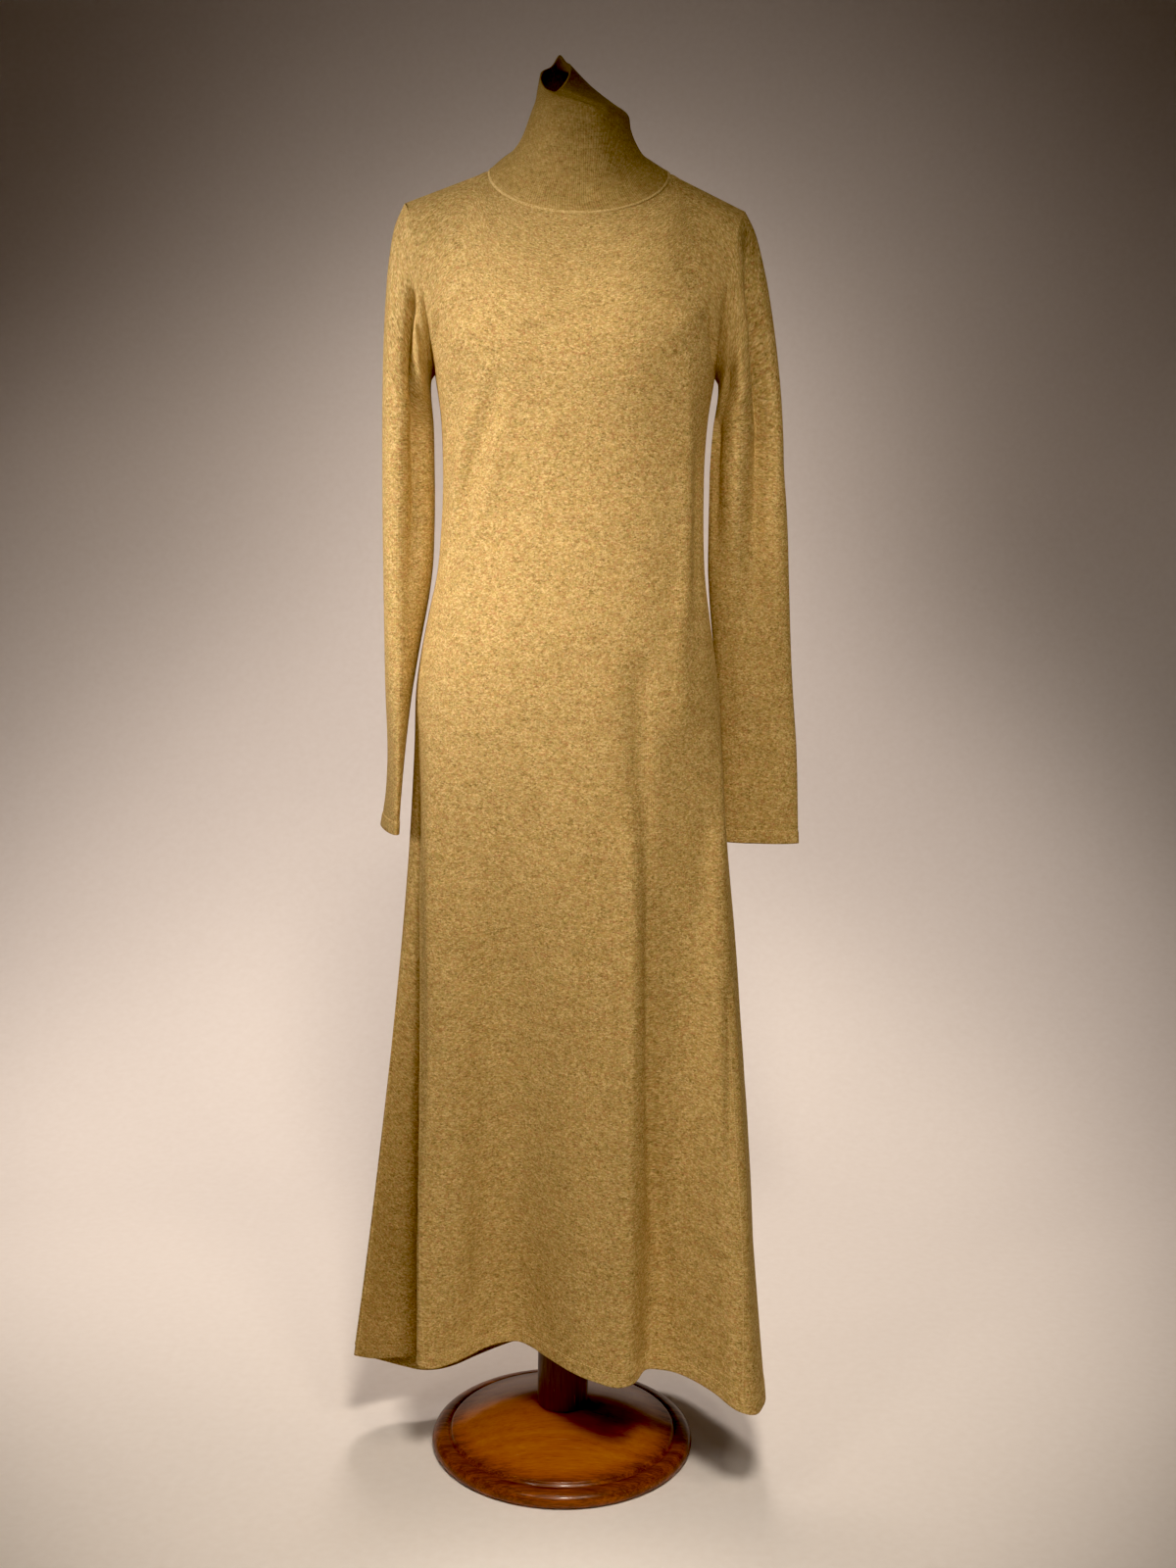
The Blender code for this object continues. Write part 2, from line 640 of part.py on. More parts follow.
add_form(front, back, neck, (normals[0], normals[1], normals[4]), linen)
column_profile = [
    (COLUMN_RADIUS, FOOT_SEAT + SEAM_GAP),
    (COLUMN_RADIUS, FORM_BOTTOM - SEAM_GAP),
]
add_turned("form_column", column_profile, COLUMN_SIDES, column_wood)
add_turned("form_base", FOOT_PROFILE, FOOT_SIDES, foot_wood)
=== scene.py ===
"""A long-sleeved sweater dress in fine marled knit, hung on a limbless dress form.

Metres, +Z up, the foot's underside on the floor. +X is the wearer's left, and the dress
faces -Y. The file follows the object as it is put together: foot, column, front and back,
sleeves, collar, and the form inside. The stitching of each piece comes with it.
"""

import json
import math

import bpy
import numpy as np
from mathutils import Matrix

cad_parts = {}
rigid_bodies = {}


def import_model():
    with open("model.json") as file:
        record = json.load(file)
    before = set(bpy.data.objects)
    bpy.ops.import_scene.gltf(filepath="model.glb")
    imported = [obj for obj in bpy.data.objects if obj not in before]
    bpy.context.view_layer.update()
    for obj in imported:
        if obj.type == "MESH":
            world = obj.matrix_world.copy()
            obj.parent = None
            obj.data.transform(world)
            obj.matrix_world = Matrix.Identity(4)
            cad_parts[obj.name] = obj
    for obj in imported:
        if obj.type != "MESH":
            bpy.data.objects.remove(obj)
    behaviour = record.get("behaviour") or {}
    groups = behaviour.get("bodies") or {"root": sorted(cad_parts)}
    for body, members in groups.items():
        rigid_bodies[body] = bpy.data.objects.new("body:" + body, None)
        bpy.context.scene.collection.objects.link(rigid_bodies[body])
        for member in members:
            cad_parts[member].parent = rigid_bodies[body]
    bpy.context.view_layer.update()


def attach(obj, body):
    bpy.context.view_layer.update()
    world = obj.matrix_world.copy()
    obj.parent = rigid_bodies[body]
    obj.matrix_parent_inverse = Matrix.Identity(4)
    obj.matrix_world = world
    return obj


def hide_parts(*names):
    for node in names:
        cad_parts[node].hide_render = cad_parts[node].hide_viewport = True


for old in list(bpy.data.objects):
    bpy.data.objects.remove(old)

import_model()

# ---- Camera ----
# A camera at chest height, two metres in front, tipped down a little and not quite level.

CAMERA_AT = (0.0194, -2.0, 1.10)
CAMERA_PITCH = 8.712  # degrees down
CAMERA_ROLL = -0.85  # degrees
SENSOR_HEIGHT = 36.0  # mm, along the picture's height
LENS = 41.217  # mm

pitch, roll = math.radians(CAMERA_PITCH), math.radians(CAMERA_ROLL)
level_up = np.array([0, math.sin(pitch), math.cos(pitch)])
to_right = math.cos(roll) * np.array([1, 0, 0]) - math.sin(roll) * level_up
to_top = math.sin(roll) * np.array([1, 0, 0]) + math.cos(roll) * level_up
ahead = np.array([0, math.cos(pitch), -math.sin(pitch)])
camera_data = bpy.data.cameras.new("camera")
camera_data.sensor_fit = "VERTICAL"
camera_data.sensor_height = SENSOR_HEIGHT
camera_data.lens = LENS
camera = bpy.data.objects.new("camera", camera_data)
turn = Matrix(np.stack([to_right, to_top, -ahead], axis=1).tolist())
camera.matrix_world = Matrix.Translation(CAMERA_AT) @ turn.to_4x4()
bpy.context.scene.collection.objects.link(camera)
bpy.context.scene.camera = camera


# ---- Foot ----
# The round foot is turned from a plank of mahogany-brown hardwood and varnished: an outer
# moulding, a groove, a fine bead, and a low dome up to the column. Its rim is scuffed.

FOOT_SIDES = 224
FOOT_SEAT = 0.0505  # height of the flat on which the column stands
# Runs of the profile between sharp corners: radius and height.
FOOT_UNDERSIDE = [(0.0100, 0.0000), (0.1480, 0.0000)]
FOOT_MOULDING = [
    (0.1480, 0.0000),
    (0.1525, 0.0030),
    (0.1540, 0.0080),
    (0.1525, 0.0135),
    (0.1480, 0.0175),
    (0.1420, 0.0192),
    (0.1365, 0.0190),
    (0.1347, 0.0178),
]
FOOT_BEAD = [(0.1347, 0.0178), (0.1330, 0.0195), (0.1310, 0.0222), (0.1280, 0.0232)]
FOOT_DOME = [
    (0.1280, 0.0232),
    (0.1180, 0.0258),
    (0.0980, 0.0325),
    (0.0740, 0.0400),
    (0.0500, 0.0465),
    (0.0330, FOOT_SEAT),
]
FOOT_RUN_POINTS = 14  # along each run of the foot's or column's profile
MAHOGANY_LIGHT = "#BE7D3B"
MAHOGANY_RED = "#A45C2C"
MAHOGANY_DARK = "#5E3520"
DARKENED_RIM = (0.112, 0.133, 0.22)  # from and to these radii, how far the tone moves down
SCUFFED_WOOD = "#C79468"
# Noise of the wood: scale, detail and roughness.
WOOD_STREAKS, WOOD_PORES = (1.0, 6.0, 0.62), (6.0, 3.0, 0.7)
SCUFFS = (0.68, 0.78, 0.55)  # the noise where one starts and is full, and how much it shows
SCUFF_TURN = 0.12  # off the grain, in radians
TOOL_RINGS = 0.25  # how far they stand up, as a share of the grain's relief
WOOD_ROUGHNESS = (0.26, 0.44)
WOOD_RELIEF = 0.0006


def hermite(start, end, pull_start, pull_end, t):
    """The curve from start to end that leaves and arrives with these pulls."""
    return (
        start * (2 * t**3 - 3 * t**2 + 1)
        + pull_start * (t**3 - 2 * t**2 + t)
        + end * (3 * t**2 - 2 * t**3)
        + pull_end * (t**3 - t**2)
    )


def through(knots, values, at):
    """A smooth curve through the values at these knots, read at each place in at. The values
    may be numbers, points or whole rows of points."""
    knots, values = np.asarray(knots, float), np.asarray(values, float)
    at = np.clip(np.asarray(at, float).reshape(-1), knots[0], knots[-1])
    wide = (-1,) + (1,) * (values.ndim - 1)
    step = np.diff(knots).reshape(wide)
    slope = np.diff(values, axis=0) / step
    inner = (slope[:-1] * step[1:] + slope[1:] * step[:-1]) / (step[:-1] + step[1:])
    pull = np.concatenate([slope[:1], inner, slope[-1:]])
    left = np.clip(np.searchsorted(knots, at, side="right") - 1, 0, len(knots) - 2)
    t = ((at - knots[left]) / (knots[left + 1] - knots[left])).reshape(wide)
    span = (knots[left + 1] - knots[left]).reshape(wide)
    return hermite(values[left], values[left + 1], pull[left] * span, pull[left + 1] * span, t)


def linear(hex_colour):
    """The linear colour of an sRGB hex value."""
    channels = [int(hex_colour[i : i + 2], 16) / 255 for i in (1, 3, 5)]
    curved = (c / 12.92 if c < 0.04045 else ((c + 0.055) / 1.055) ** 2.4 for c in channels)
    return (*curved, 1)


def connect(tree, node, inputs):
    """Gives a node's sockets their values. An output, or a node's first output, is linked."""
    for socket, value in inputs.items():
        if isinstance(value, bpy.types.Node):
            value = next(output for output in value.outputs if output.enabled)
        if isinstance(value, bpy.types.NodeSocket):
            tree.links.new(value, node.inputs[socket])
        else:
            node.inputs[socket].default_value = value


def add_node(tree, kind, inputs=None, stops=(), interpolation="LINEAR", **settings):
    """Adds a node with its settings and links. stops are a colour ramp's (place, hex colour)."""
    node = tree.nodes.new("ShaderNode" + kind)
    for name, value in settings.items():
        setattr(node, name, value)
    for place, _ in stops[2:]:
        node.color_ramp.elements.new(place)
    for stop, (place, hex_colour) in enumerate(stops):
        node.color_ramp.interpolation = interpolation
        node.color_ramp.elements[stop].position = place
        node.color_ramp.elements[stop].color = linear(hex_colour)
    connect(tree, node, inputs or {})
    return node


def new_material(name, **settings):
    """A material, its node tree and its Principled shader, with these constant sockets."""
    material = bpy.data.materials.new(name)
    material.use_nodes = True
    shader = material.node_tree.nodes["Principled BSDF"]
    for socket, value in settings.items():
        shader.inputs[socket.replace("_", " ")].default_value = value
    return material, material.node_tree, shader


def varnished_wood(name, stops, grain_run, ring_pitch, wear, rim=None):
    """Turned hardwood under glossy varnish: long grain, faint tool rings and worn marks. Its
    tone is darker towards the rim, where one is given."""
    material, tree, shader = new_material(
        name, IOR=1.5, Specular_IOR_Level=0.2, Coat_Weight=0.2, Coat_Roughness=0.10, Coat_IOR=1.5
    )
    place = add_node(tree, "TexCoord").outputs["Object"]
    stretched = add_node(tree, "Mapping", {"Vector": place, "Scale": grain_run})
    streaks, pores = (
        add_node(
            tree,
            "TexNoise",
            {"Vector": stretched, "Scale": scale, "Detail": detail, "Roughness": roughness},
        )
        for scale, detail, roughness in (WOOD_STREAKS, WOOD_PORES)
    )
    grain = add_node(tree, "Math", {0: streaks, 1: pores}, operation="ADD")
    grain = add_node(tree, "Math", {0: grain, 1: 0.5}, operation="MULTIPLY")

    split = add_node(tree, "SeparateXYZ", {0: place}).outputs
    radius = add_node(tree, "Math", {0: split[0], 1: split[0]}, operation="MULTIPLY")
    radius = add_node(tree, "Math", {0: split[1], 1: split[1], 2: radius}, operation="MULTIPLY_ADD")
    radius = add_node(tree, "Math", {0: radius, 1: 0.5}, operation="POWER")  # its square root
    tone = grain
    if rim:
        rim_darkening = add_node(tree, "MapRange", {0: radius, 1: rim[0], 2: rim[1], 4: rim[2]})
        tone = add_node(tree, "Math", {0: grain, 1: rim_darkening}, operation="SUBTRACT")
    colour = add_node(tree, "ValToRGB", {0: tone}, stops)
    rings = add_node(tree, "Math", {0: radius, 1: 2 * math.pi / ring_pitch}, operation="MULTIPLY")
    rings = add_node(tree, "Math", {0: rings}, operation="SINE")
    relief = add_node(tree, "Math", {0: rings, 1: TOOL_RINGS, 2: grain}, operation="MULTIPLY_ADD")

    off_grain = {"Vector": place, "Scale": wear, "Rotation": (0, 0, SCUFF_TURN)}
    turned = add_node(tree, "Mapping", off_grain)
    scuffs = {"Vector": turned, "Scale": 1.0, "Detail": 2.0, "Roughness": 0.5}
    scuffs = add_node(tree, "TexNoise", scuffs)
    worn = add_node(tree, "MapRange", {0: scuffs, 1: SCUFFS[0], 2: SCUFFS[1], 4: SCUFFS[2]})
    mixed = add_node(tree, "Mix", {0: worn, 6: colour, 7: linear(SCUFFED_WOOD)}, data_type="RGBA")
    rough = add_node(tree, "MapRange", {0: grain, 3: WOOD_ROUGHNESS[0], 4: WOOD_ROUGHNESS[1]})
    bump = add_node(tree, "Bump", {"Height": relief, "Strength": 0.12, "Distance": WOOD_RELIEF})
    connect(tree, shader, {"Base Color": mixed, "Roughness": rough, "Normal": bump})
    return material


def add_mesh(name, points, faces, material, uv=None):
    """A smooth-shaded mesh. uv holds a place for each corner of each face."""
    mesh = bpy.data.meshes.new(name)
    mesh.from_pydata(np.asarray(points, float).tolist(), [], faces)
    if uv is not None:
        mesh.uv_layers.new(name="cloth").data.foreach_set("uv", np.asarray(uv, np.float32).ravel())
    mesh.shade_smooth()
    mesh.materials.append(material)
    piece = bpy.data.objects.new(name, mesh)
    bpy.context.scene.collection.objects.link(piece)
    return piece


def cells(grid):
    """The four corners of each cell of a grid, in order round it."""
    return np.stack([grid[:-1, :-1], grid[:-1, 1:], grid[1:, 1:], grid[1:, :-1]], axis=2)


def mark_crisp(piece, lines):
    """Marks the edges along these lines of points as sharp, so that their sides shade apart."""
    crisp = {frozenset(pair) for line in lines for pair in zip(line[:-1].tolist(), line[1:].tolist())}
    marks = [frozenset(edge.vertices) in crisp for edge in piece.data.edges]
    piece.data.attributes.new("sharp_edge", "BOOLEAN", "EDGE").data.foreach_set("value", marks)


def running(steps):
    """The running total of the steps, from zero."""
    return np.concatenate([[0], np.cumsum(steps)])


def add_turned(name, runs, sides, material):
    """A turned solid from the runs of its profile, with a crisp edge between two runs."""
    profile = []
    for run in map(np.array, runs):
        gone = running(np.linalg.norm(np.diff(run, axis=0), axis=1))
        profile.append(through(gone, run, np.linspace(0, gone[-1], FOOT_RUN_POINTS)))
    corners = running([len(run) - 1 for run in profile])
    profile = np.concatenate([profile[0]] + [run[1:] for run in profile[1:]])
    turns = np.linspace(0, 2 * math.pi, sides, endpoint=False)
    across = [profile[:, :1] * np.cos(turns), profile[:, :1] * np.sin(turns)]
    height = np.repeat(profile[:, 1:], sides, axis=1)
    points = np.stack([*across, height], axis=-1).reshape(-1, 3)
    index = np.arange(len(points)).reshape(-1, sides)
    closed = np.concatenate([index, index[:, :1]], axis=1)
    ends = [index[0][::-1].tolist(), index[-1].tolist()]
    piece = add_mesh(name, points, cells(closed).reshape(-1, 4).tolist() + ends, material)
    mark_crisp(piece, closed[corners])
    return piece


foot_wood = varnished_wood(
    "varnished mahogany, worn",
    [(0.22, MAHOGANY_DARK), (0.44, MAHOGANY_RED), (0.74, MAHOGANY_LIGHT)],
    grain_run=(9, 110, 110),
    ring_pitch=0.0016,
    wear=(20, 620, 200),
    rim=DARKENED_RIM,
)
foot = add_turned(
    "foot", [FOOT_UNDERSIDE, FOOT_MOULDING, FOOT_BEAD, FOOT_DOME], FOOT_SIDES, foot_wood
)
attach(foot, "root")
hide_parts("form_base")


# ---- Column ----
# A plain round post of the same hardwood, stained darker, from the foot up into the form.

COLUMN_RADIUS = 0.0298
COLUMN_SIDES = 96
COLUMN_FROM = FOOT_SEAT + 0.0003  # a glued joint
COLUMN_TO = 0.8597
COLUMN_EDGE = 0.0012  # eased edge at both ends
COLUMN_RED = "#6E4E3E"
COLUMN_DARK = "#4A3329"

column_wood = varnished_wood(
    "dark red-brown varnished hardwood",
    [(0.32, COLUMN_DARK), (0.62, COLUMN_RED)],
    grain_run=(150, 150, 7),
    ring_pitch=0.004,
    wear=(600, 600, 60),
)
column_profile = [
    (COLUMN_RADIUS - COLUMN_EDGE, COLUMN_FROM),
    (COLUMN_RADIUS, COLUMN_FROM + COLUMN_EDGE),
    (COLUMN_RADIUS, COLUMN_TO - COLUMN_EDGE),
    (COLUMN_RADIUS - COLUMN_EDGE, COLUMN_TO),
]
post = add_turned(
    "column", zip(column_profile[:-1], column_profile[1:]), COLUMN_SIDES, column_wood
)
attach(post, "root")
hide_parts("form_column")


# ---- Front and back ----
# Two panels of fine weft knit, linked at the sides and shoulders: close over the body, and
# from the hip down flared into soft standing folds. The hem is turned up and stitched.

WALL = 0.0020  # the knit, with its nap
GORES = 28  # strips across the front, and across the back
SKIRT_ROWS = 13  # from the hip down to the hem
TORSO_ROWS = 9  # from the hip up to the underarm
YOKE_ROWS = 8  # from the underarm up to the shoulder and neck
SETTLED_ROWS = 3  # rows below the underarm that are evened out with the yoke
SETTLED_GORES = (1.8, 6.3)  # gores from an armhole where evening out starts, and is full
SETTLING, SETTLING_STEP = 6, 0.5  # times that rows are evened out, and how far each time
HIP_HEIGHT = 0.900
UNDERARM_HEIGHT = 1.242
ROUNDNESS = 2.2  # 2 is an ellipse, and more is squarer
SEAMS_AT_UNDERARM = (-90.0, 90.0)  # degrees from the front's middle
SEAMS_AT_HIP = (-95.0, 82.0)

# Sections of the bodice: height, then how far it reaches to each side.
BODICE = [
    # height  right    left   front   back
    (0.900, -0.1736, 0.1642, 0.110, 0.116),
    (0.965, -0.1639, 0.1546, 0.107, 0.114),
    (1.020, -0.1516, 0.1462, 0.102, 0.102),
    (1.065, -0.1470, 0.1432, 0.099, 0.091),
    (1.110, -0.1446, 0.1421, 0.099, 0.083),
    (1.150, -0.1447, 0.1419, 0.103, 0.081),
    (1.190, -0.1462, 0.1438, 0.110, 0.085),
    (1.242, -0.1535, 0.1507, 0.119, 0.094),
]

# The hem seen from above, a row for each fold and hollow. late is how far down it opens.
FRONT_HEM = [
    # gore     x       y      height  late
    (0.0, -0.244, -0.020, 0.114, 0.45),  # right side seam, a wing that stands out
    (1.0, -0.223, 0.006, 0.098, 0.45),
    (2.0, -0.187, 0.034, 0.087, 0.40),
    (3.0, -0.158, 0.046, 0.084, 0.30),  # the hollow behind the first fold
    (4.0, -0.158, -0.068, 0.135, 0.30),
    (5.0, -0.159, -0.111, 0.147, 0.25),  # first fold's edge
    (6.0, -0.144, -0.111, 0.145, 0.25),
    (7.5, -0.116, -0.090, 0.145, 0.35),
    (9.0, -0.090, -0.071, 0.151, 0.45),
    (11.0, -0.051, -0.063, 0.156, 0.50),  # the broad hollow of the front
    (13.0, -0.020, -0.089, 0.152, 0.50),
    (15.0, 0.010, -0.119, 0.148, 0.45),
    (17.0, 0.041, -0.137, 0.144, 0.40),
    (19.0, 0.067, -0.146, 0.144, 0.35),
    (20.0, 0.081, -0.136, 0.145, 0.30),  # second fold's edge
    (21.0, 0.093, -0.112, 0.148, 0.45),  # the narrow hollow beside it
    (22.0, 0.111, -0.111, 0.148, 0.45),
    (23.5, 0.138, -0.126, 0.148, 0.35),
    (25.0, 0.169, -0.155, 0.143, 0.25),
    (26.5, 0.201, -0.176, 0.130, 0.20),  # third fold, at the left side
    (27.3, 0.218, -0.163, 0.126, 0.15),
    (28.0, 0.226, -0.138, 0.126, 0.15),  # left side seam
]
BACK_HEM = [
    # gore     x       y      height  late
    (0.0, 0.226, -0.138, 0.126, 0.15),  # left side seam
    (1.0, 0.230, -0.080, 0.116, 0.20),
    (2.5, 0.225, -0.010, 0.105, 0.25),
    (4.0, 0.206, 0.040, 0.097, 0.40),
    (6.0, 0.180, 0.078, 0.087, 0.45),  # hollow
    (8.0, 0.152, 0.117, 0.077, 0.35),
    (10.0, 0.115, 0.141, 0.070, 0.30),  # fold
    (11.5, 0.082, 0.132, 0.068, 0.40),
    (13.5, 0.043, 0.119, 0.067, 0.45),  # hollow
    (15.5, 0.001, 0.137, 0.064, 0.35),
    (17.5, -0.041, 0.144, 0.062, 0.30),  # fold
    (19.5, -0.079, 0.117, 0.063, 0.40),
    (21.0, -0.112, 0.092, 0.060, 0.45),
    (22.5, -0.142, 0.069, 0.057, 0.45),  # hollow
    (24.0, -0.172, 0.055, 0.060, 0.45),
    (25.5, -0.204, 0.051, 0.069, 0.45),
    (27.0, -0.238, 0.020, 0.094, 0.45),
    (28.0, -0.244, -0.020, 0.114, 0.45),  # right side seam
]

# Shoulders and neck seam. The bust is a low mound on each side of the front.
SHOULDER_TIPS = ((-0.1865, 1.4215), (0.179, 1.4180))  # x and height, right then left
SHOULDER_SHARE = 0.25  # of a panel's width that each shoulder seam takes
NECK_MIDDLE = 0.0004
NECK_HALF_WIDTH = 0.098
NECK_HEIGHT = 1.4555  # at the shoulder
NECK_FRONT = (0.075, 0.0535)  # how far forward of the shoulder, and how far below it
NECK_BACK = (0.055, -0.0225)
BUST_SIDE, BUST_HEIGHT, BUST_REACH, BUST_SPREAD = 0.073, 1.274, 0.008, 0.045
BUST_FADE = 0.30  # share of the half width over which it grows in from a seam

# How the yoke leaves the underarm's section and how it arrives at the shoulder or neck:
# out to the side, forward, and up. share is the way from the armhole to the middle.
YOKE_PULLS = [
    # share   leaves: out, forward, up       arrives: out, forward, up
    (0.00, (0.000, 0.200, 0.060), (0.050, -0.215, 0.060)),
    (0.08, (0.000, 0.160, 0.070), (0.035, -0.205, 0.050)),
    (0.20, (0.000, 0.110, 0.140), (0.020, -0.195, 0.040)),
    (0.50, (0.000, 0.040, 0.200), (-0.120, -0.150, 0.050)),
    (1.00, (0.000, 0.025, 0.170), (0.000, -0.060, 0.140)),
]

# How finely a panel is drawn: between two gore lines, and up the cloth, in metres. Near the
# hem, its zone has finer steps.
GORE_STEPS = 6
ROW_STEP = 0.0062
HEM_ZONE, HEM_STEP = 0.026, 0.0016

# What shows of each panel laid flat: its width at the hem and its length, and its area.
FRONT_CUT, FRONT_AREA = (0.70, 1.38), 0.61
BACK_CUT, BACK_AREA = (0.75, 1.42), 0.70

# Creases, in millimetres: width, then (across, height, how far it stands out) along its run.
# across is measured round the cloth from the panel's middle, to the left on the front and
# to the right on the back.
FRONT_CREASES = [
    # from the right bust down to the waist
    (7, (-125.3, 1244, 0), (-133.8, 1219, -3.8), (-145, 1190, -2.4), (-150, 1160, 0)),
    (8, (-103, 1231, 0), (-117.4, 1170, 4.2), (-130.5, 1121, 4.5), (-138, 1030, 0)),
    (8, (-71.3, 1250, 0), (-84.8, 1218, -4.2), (-95.2, 1170, -5.1), (-110.2, 1121, -4.8),
        (-122.3, 1065, -3.5), (-136.5, 1022, 0)),
    (9, (-69.5, 1190, 0), (-76, 1160, 3.2), (-83, 1120, 4.2), (-95, 1080, 3.2), (-120, 1000, 0)),
    # between the busts, and at the underarms
    (22, (-42.6, 1300, 0), (-41, 1270, -3.2), (-39.8, 1217, -2.4), (-40, 1180, 0)),
    (6, (137, 1304, 0), (156, 1297, -6), (179, 1274, -8.5), (194, 1250, -2)),
    (6, (-148, 1304, 0), (-166, 1296, -5.5), (-184, 1276, -8), (-195, 1255, -2)),
    # the fullness over each bust, out to the side
    (17, (-126, 1305, 0), (-118, 1280, 5.2), (-110, 1262, 2), (-100, 1245, 0)),
    (15, (128, 1318, 0), (118, 1292, 5.6), (113, 1272, 2), (104, 1255, 0)),
    # down the left side of the body
    (10, (126.3, 1270, 0), (130, 1230, 3.2), (135.9, 1164, 4.8), (144.1, 1059, 4.8), (152.5, 930, 0)),
    (10, (158, 1210, 0), (162, 1120, -4), (166, 1040, -3.2), (170, 970, 0)),
    (10, (140, 1030, 0), (141.7, 997, 3.2), (152.5, 893, 3.5), (156, 840, 0)),
    (12, (102.6, 960, 0), (102.6, 923, -3.5), (104.9, 810, -4.8), (110, 700, 0)),
    # down the skirt, from right to left
    (5, (-168, 800, 0), (-165, 650, 3.2), (-166, 450, 4.8), (-169, 307, 5.1), (-185, 154, 4.8)),
    (10, (-140, 680, 0), (-142, 500, -4.2), (-148, 300, -4.8), (-160, 160, -1.6)),
    (14, (-98.5, 720, 0), (-98.5, 639, 4.8), (-105.9, 473, 6.7), (-116.5, 301, 6.4), (-130, 170, 0)),
    (28, (-35, 830, 0), (-35, 735, -4.8), (-38, 588, -8), (-25.8, 482, -8), (-41.2, 243, -3.2),
        (-40, 180, 0)),
    (8, (94.6, 820, 0), (93.6, 703, 4), (91.8, 542, 6.7), (87.9, 382, 6.7), (88.6, 270, 5.6),
        (90.5, 161, 3.2)),
    (7, (110, 820, 0), (111.2, 739, -4.8), (116.2, 597, -8.8), (121.2, 485, -9.6), (130.3, 350, -8),
        (149.2, 226, -3.2), (155, 175, 0)),
    (9, (183.4, 790, 0), (183.4, 750, -3.5), (182.5, 679, -3.5), (183, 620, 0)),
    (10, (225, 900, 0), (215, 800, 3.5), (201.9, 717, 3.5), (200, 670, 0)),
    (6, (209.5, 610, 0), (211.5, 559, -3.5), (214.9, 434, -4.5), (234, 210, 0)),
    (7, (226, 620, 0), (232, 520, 3.2), (242.8, 394, 3.5), (256, 172, 0)),
]
BACK_CREASES = [
    # from the shoulder blades down to the waist
    (10, (-90, 1230, 0), (-100, 1150, 3.6), (-112, 1070, 4.2), (-122, 970, 0)),
    (8.5, (75, 1260, 0), (92, 1180, -3.6), (105, 1100, -4.2), (120, 990, 0)),
    (9, (110, 1210, 0), (118, 1130, 3.1), (126, 1050, 3.1), (130, 980, 0)),
    (8, (-55, 1240, 0), (-68, 1170, -3.1), (-80, 1100, -3.6), (-90, 1020, 0)),
    # across the small of the back
    (9, (-80, 1075, 0), (-30, 1068, 3.1), (30, 1073, 3.6), (72, 1084, 0)),
    (8, (-60, 1045, 0), (0, 1038, -3.1), (50, 1044, 0)),
    (8, (-30, 1108, 0), (15, 1103, -2.8), (60, 1112, 0)),
    # at the underarms
    (6, (-150, 1300, 0), (-170, 1290, -3.1), (-185, 1268, -3.6), (-192, 1250, 0)),
    (6, (148, 1310, 0), (166, 1296, -2.8), (182, 1272, -3.6), (190, 1255, 0)),
    # down the skirt, from left to right
    (9, (-240, 760, 0), (-260, 600, 3.6), (-280, 400, 4.8), (-310, 160, 0)),
    (10, (-190, 800, 0), (-200, 620, -4.2), (-215, 400, -5.3), (-225, 150, 0)),
    (12, (-100, 820, 0), (-110, 600, 4.5), (-125, 400, 5.6), (-142, 110, 1.4)),
    (8, (-70, 840, 0), (-72, 620, -5.6), (-75, 400, -6.4), (-80, 120, 0)),
    (10, (30, 760, 0), (32, 600, -4.2), (30, 380, -5.6), (22, 130, 0)),
    (10, (90, 850, 0), (100, 620, 4.2), (108, 400, 5.9), (120, 90, 1.4)),
    (9, (150, 720, 0), (165, 500, -4.5), (180, 300, -5.6), (192, 150, 0)),
    (8, (220, 640, 0), (238, 460, 3.9), (255, 280, 4.5), (268, 130, 0)),
]

# The turned-up hem is twice as thick, and its stitching pulls it in.
HEM_TURN = 0.015  # how high it is turned up
HEM_SWELL = 0.0007
HEM_PULL = 0.0008
HEM_EDGE = 0.0016  # over what height it thins at the stitches
SEAM_DIP, SEAM_SPREAD = 0.0009, 0.0035  # how deep a side seam lies, and how far that reaches
# How deep the armhole sinks, at which height, over what height, how far it reaches, and how
# near the middle of its depth it turns from a forward to a backward fold.
ARMHOLE_SINK = (0.0060, 1.288, 0.034, 0.0080, 0.015)
# The side seam's dip starts this far above the underarm, and is full this much further down.
SIDE_SEAM_TOP = (0.010, 0.030)
CREASE_FADE = 0.012  # how near to a sewn seam a crease starts to fade

# The yarn is thin plies twisted together, so each stitch shows another mixture.
YARN_STRAW = "#CFB37E"
YARN_OCHRE = "#B2935B"
YARN_OLIVE = "#8B7547"
YARN_GREEN = "#B39E63"
YARN_RUST = "#AF8258"
# Shares of the plies: each runs from its stop to the next.
YARN_MIXTURE = [
    (0.00, YARN_OLIVE),
    (0.16, YARN_GREEN),
    (0.34, YARN_OCHRE),
    (0.62, YARN_STRAW),
    (0.90, YARN_RUST),
]
RUST = (0.54, 0.70, 0.55)  # the noise where a patch starts and is full, and the rust ply's share
NOISE_RANGE = (0.3, 0.7)  # where most values of a noise lie
DRIFT_SHADES = (0.91, 1.07)
FUZZ_SHADE = 0.2  # how much lighter or darker the nap makes a spot
STITCH = (0.0022, 0.0017)  # really 1.6 by 1.2 mm, drawn coarser so that it shows
# Lengths along the courses, and heights. One ply lies on top for one or two stitches.
FLECK = (0.0027, 0.0017)
FINE_FLECK = (0.0017, 0.0013)
RUST_FLECK = (0.0060, 0.0042)
FUZZ = (0.0017, 0.0014)
DRIFT = (0.024, 0.010)  # slow changes of the mixture
PALE_YARN = "#D9BF8A"
